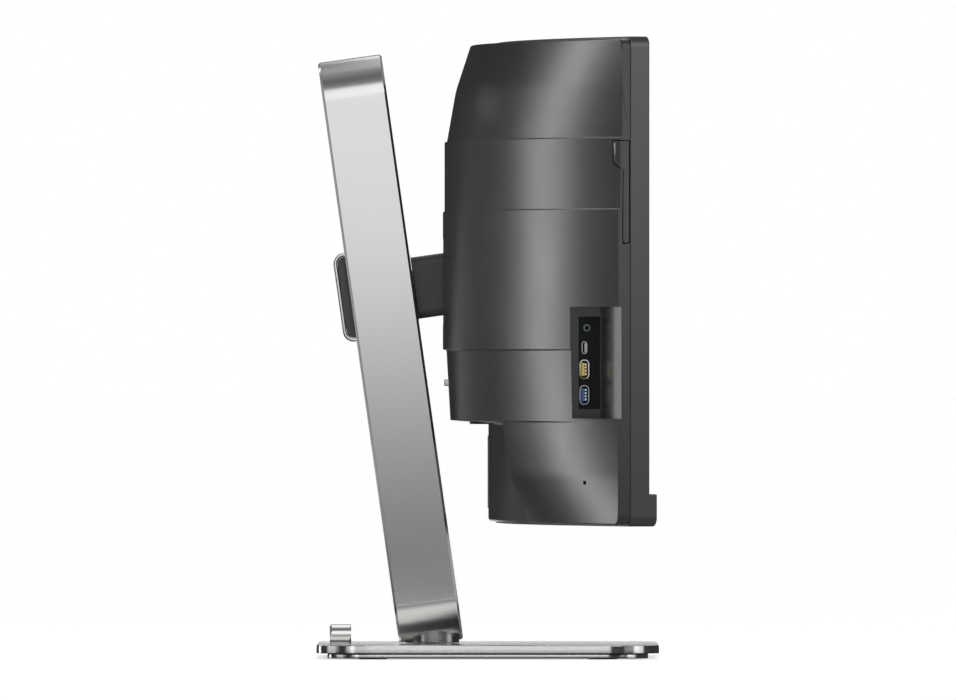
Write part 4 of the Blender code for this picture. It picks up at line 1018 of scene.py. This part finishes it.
# ---- studio ----
def build_world():
    """White to the eye, softer to matt surfaces, and a dim room, darker below, in reflections."""
    world = bpy.data.worlds.new("studio")
    bpy.context.scene.world = world
    world.use_nodes = True
    nodes, links = world.node_tree.nodes, world.node_tree.links
    rays = nodes.new("ShaderNodeLightPath")

    def background(strength):
        node = nodes.new("ShaderNodeBackground")
        node.inputs["Strength"].default_value = strength
        return node

    def tone(grey):
        return grey, grey, grey, 1.0

    white, soft, room = background(1.0), background(0.4), nodes["Background"]
    for node in (white, soft):
        node.inputs["Color"].default_value = tone(1.0)
    room.inputs["Strength"].default_value = 1.0
    split = nodes.new("ShaderNodeSeparateXYZ")
    links.new(nodes.new("ShaderNodeTexCoord").outputs["Generated"], split.inputs["Vector"])
    height = nodes.new("ShaderNodeMapRange")
    height.inputs["From Min"].default_value = -1.0
    links.new(split.outputs["Z"], height.inputs["Value"])
    ramp = nodes.new("ShaderNodeValToRGB")
    links.new(height.outputs["Result"], ramp.inputs["Fac"])
    links.new(ramp.outputs["Color"], room.inputs["Color"])
    stops = ramp.color_ramp.elements
    stops[0].position, stops[0].color = 0.3, tone(0.03)
    stops[1].position, stops[1].color = 1.0, tone(0.35)
    horizon = ((0.47, 0.04), (0.51, 0.05), (0.545, 0.022), (0.6, 0.03))
    ceiling = ((0.64, 0.3), (0.8, 0.3), (0.92, 0.14))
    for place, grey in horizon + ceiling:
        stops.new(place).color = tone(grey)
    seen, mirrored = nodes.new("ShaderNodeMixShader"), nodes.new("ShaderNodeMixShader")
    links.new(rays.outputs["Is Camera Ray"], seen.inputs["Fac"])
    links.new(soft.outputs["Background"], seen.inputs[1])
    links.new(white.outputs["Background"], seen.inputs[2])
    links.new(rays.outputs["Is Glossy Ray"], mirrored.inputs["Fac"])
    links.new(seen.outputs["Shader"], mirrored.inputs[1])
    links.new(room.outputs["Background"], mirrored.inputs[2])
    links.new(mirrored.outputs["Shader"], nodes["World Output"].inputs["Surface"])


def softbox(name, place, target, size, radiance):
    """A rectangular lamp of an even brightness, whatever its size."""
    light = bpy.data.lights.new(name, "AREA")
    light.shape, light.size, light.size_y = "RECTANGLE", *size
    light.energy = radiance * math.pi * size[0] * size[1]
    obj = placed(name, light)
    obj.location = place
    obj.rotation_euler = (Vector(target) - Vector(place)).to_track_quat("-Z", "Y").to_euler()
    obj.visible_camera = False


def build_floor():
    """A wide white floor that reflections leave out."""
    paint = Paint("floor", 0.9, Specular_IOR_Level=0.0, Emission_Strength=0.6)
    paint.shader.inputs["Emission Color"].default_value = (1.0, 1.0, 1.0, 1.0)
    paint.colour(paint.mapped(paint.noise(0.8, 2.0), 0.0, 1.0), (0.97, 0.97, 0.97), (0.99, 0.99, 0.99))
    bm = bmesh.new()
    bmesh.ops.create_circle(bm, cap_ends=True, segments=96, radius=150.0)
    mesh = bpy.data.meshes.new("floor")
    bm.to_mesh(mesh)
    bm.free()
    floor = placed("floor", mesh)
    mesh.materials.append(paint.made)
    floor.visible_glossy = False


def build_bank():
    """A tall bank of lamps on the camera's side, brightest above the stand's middle."""
    x, y, width, brightest = -1.05, -0.045, 0.71, 1.09
    shelves = [(0.01 + 0.04 * i, 0.05 + 0.04 * i) for i in range(8)] + [(0.33, 1.22)]
    for number, (low, high) in enumerate(shelves):
        middle = (low + high) / 2
        radiance = min(0.15 + 0.97 * (middle / 0.32) ** 1.85, brightest)
        softbox(f"bank_{number}", (x, y, middle), (0.0, y, middle), (width, high - low), radiance)


LAMPS = (  # name, place, what it points at, width and height, radiance
    ("hub_strip", (-1.05, 0.97, 0.35), (0.0, 0.04, 0.1), (0.2, 0.8), 0.95),
    # Low strips that the base's edge and top mirror, with gaps for the dark bands at its corners.
    ("base_side", (-0.5, 0.2, 0.01), (0.0, 0.2, 0.01), (0.8, 0.02), 1.35),
    ("base_front", (-0.55, -0.85, 0.01), (-0.2, -0.1, 0.01), (0.5, 0.02), 1.0),
    ("base_rear", (-0.15, 0.95, 0.01), (-0.2, 0.1, 0.01), (0.5, 0.02), 0.9),
    ("base_far", (0.9, 0.0, 0.022), (0.0, 0.0, 0.022), (0.6, 0.04), 2.2),
    ("bezel_fill", (-2.0, -1.25, 0.95), (-0.58, -0.1, 0.45), (1.0, 1.04), 3.3),
    ("rear_strip", (1.303, 1.358, 0.6), (-0.46, -0.044, 0.28), (0.24, 1.9), 2.85),
    ("rear_glow", (0.0, 2.1, 0.4), (0.0, 0.1, 0.3), (0.8, 1.2), 0.42),
    ("overhead_strip", (0.55, 0.05, 1.55), (0.0, 0.05, 0.45), (0.35, 1.6), 1.3),
    ("front_fill", (-0.45, -1.9, 0.5), (0.0, -0.05, 0.28), (0.8, 1.2), 1.1),
)


def build_camera():
    """A very long lens from the user's left, level with the middle of the frame."""
    data = bpy.data.cameras.new("camera")
    data.lens, data.sensor_width, data.clip_start, data.clip_end = 1250.0, 36.0, 1.0, 400.0
    camera = placed("camera", data)
    seen_width, sharp_x = 0.7275, -0.33
    distance = seen_width * data.lens / data.sensor_width
    camera.location = (sharp_x - distance, 0.0075, 0.2369)
    camera.rotation_euler = (math.pi / 2, 0.0, -math.pi / 2)
    bpy.context.scene.camera = camera


build_camera()
build_world()
build_floor()
build_bank()
for lamp in LAMPS:
    softbox(*lamp)
build_bezel()
build_screen()
build_keys()
build_rear_cover()
build_side_ports()
build_bay()
build_release_button()
build_column()
build_base()
build_cable_ring()
build_arm()
build_rear_cap()
level_shading()
paint_frame()
bpy.context.scene.view_settings.view_transform = "Standard"

bpy.context.view_layer.update()
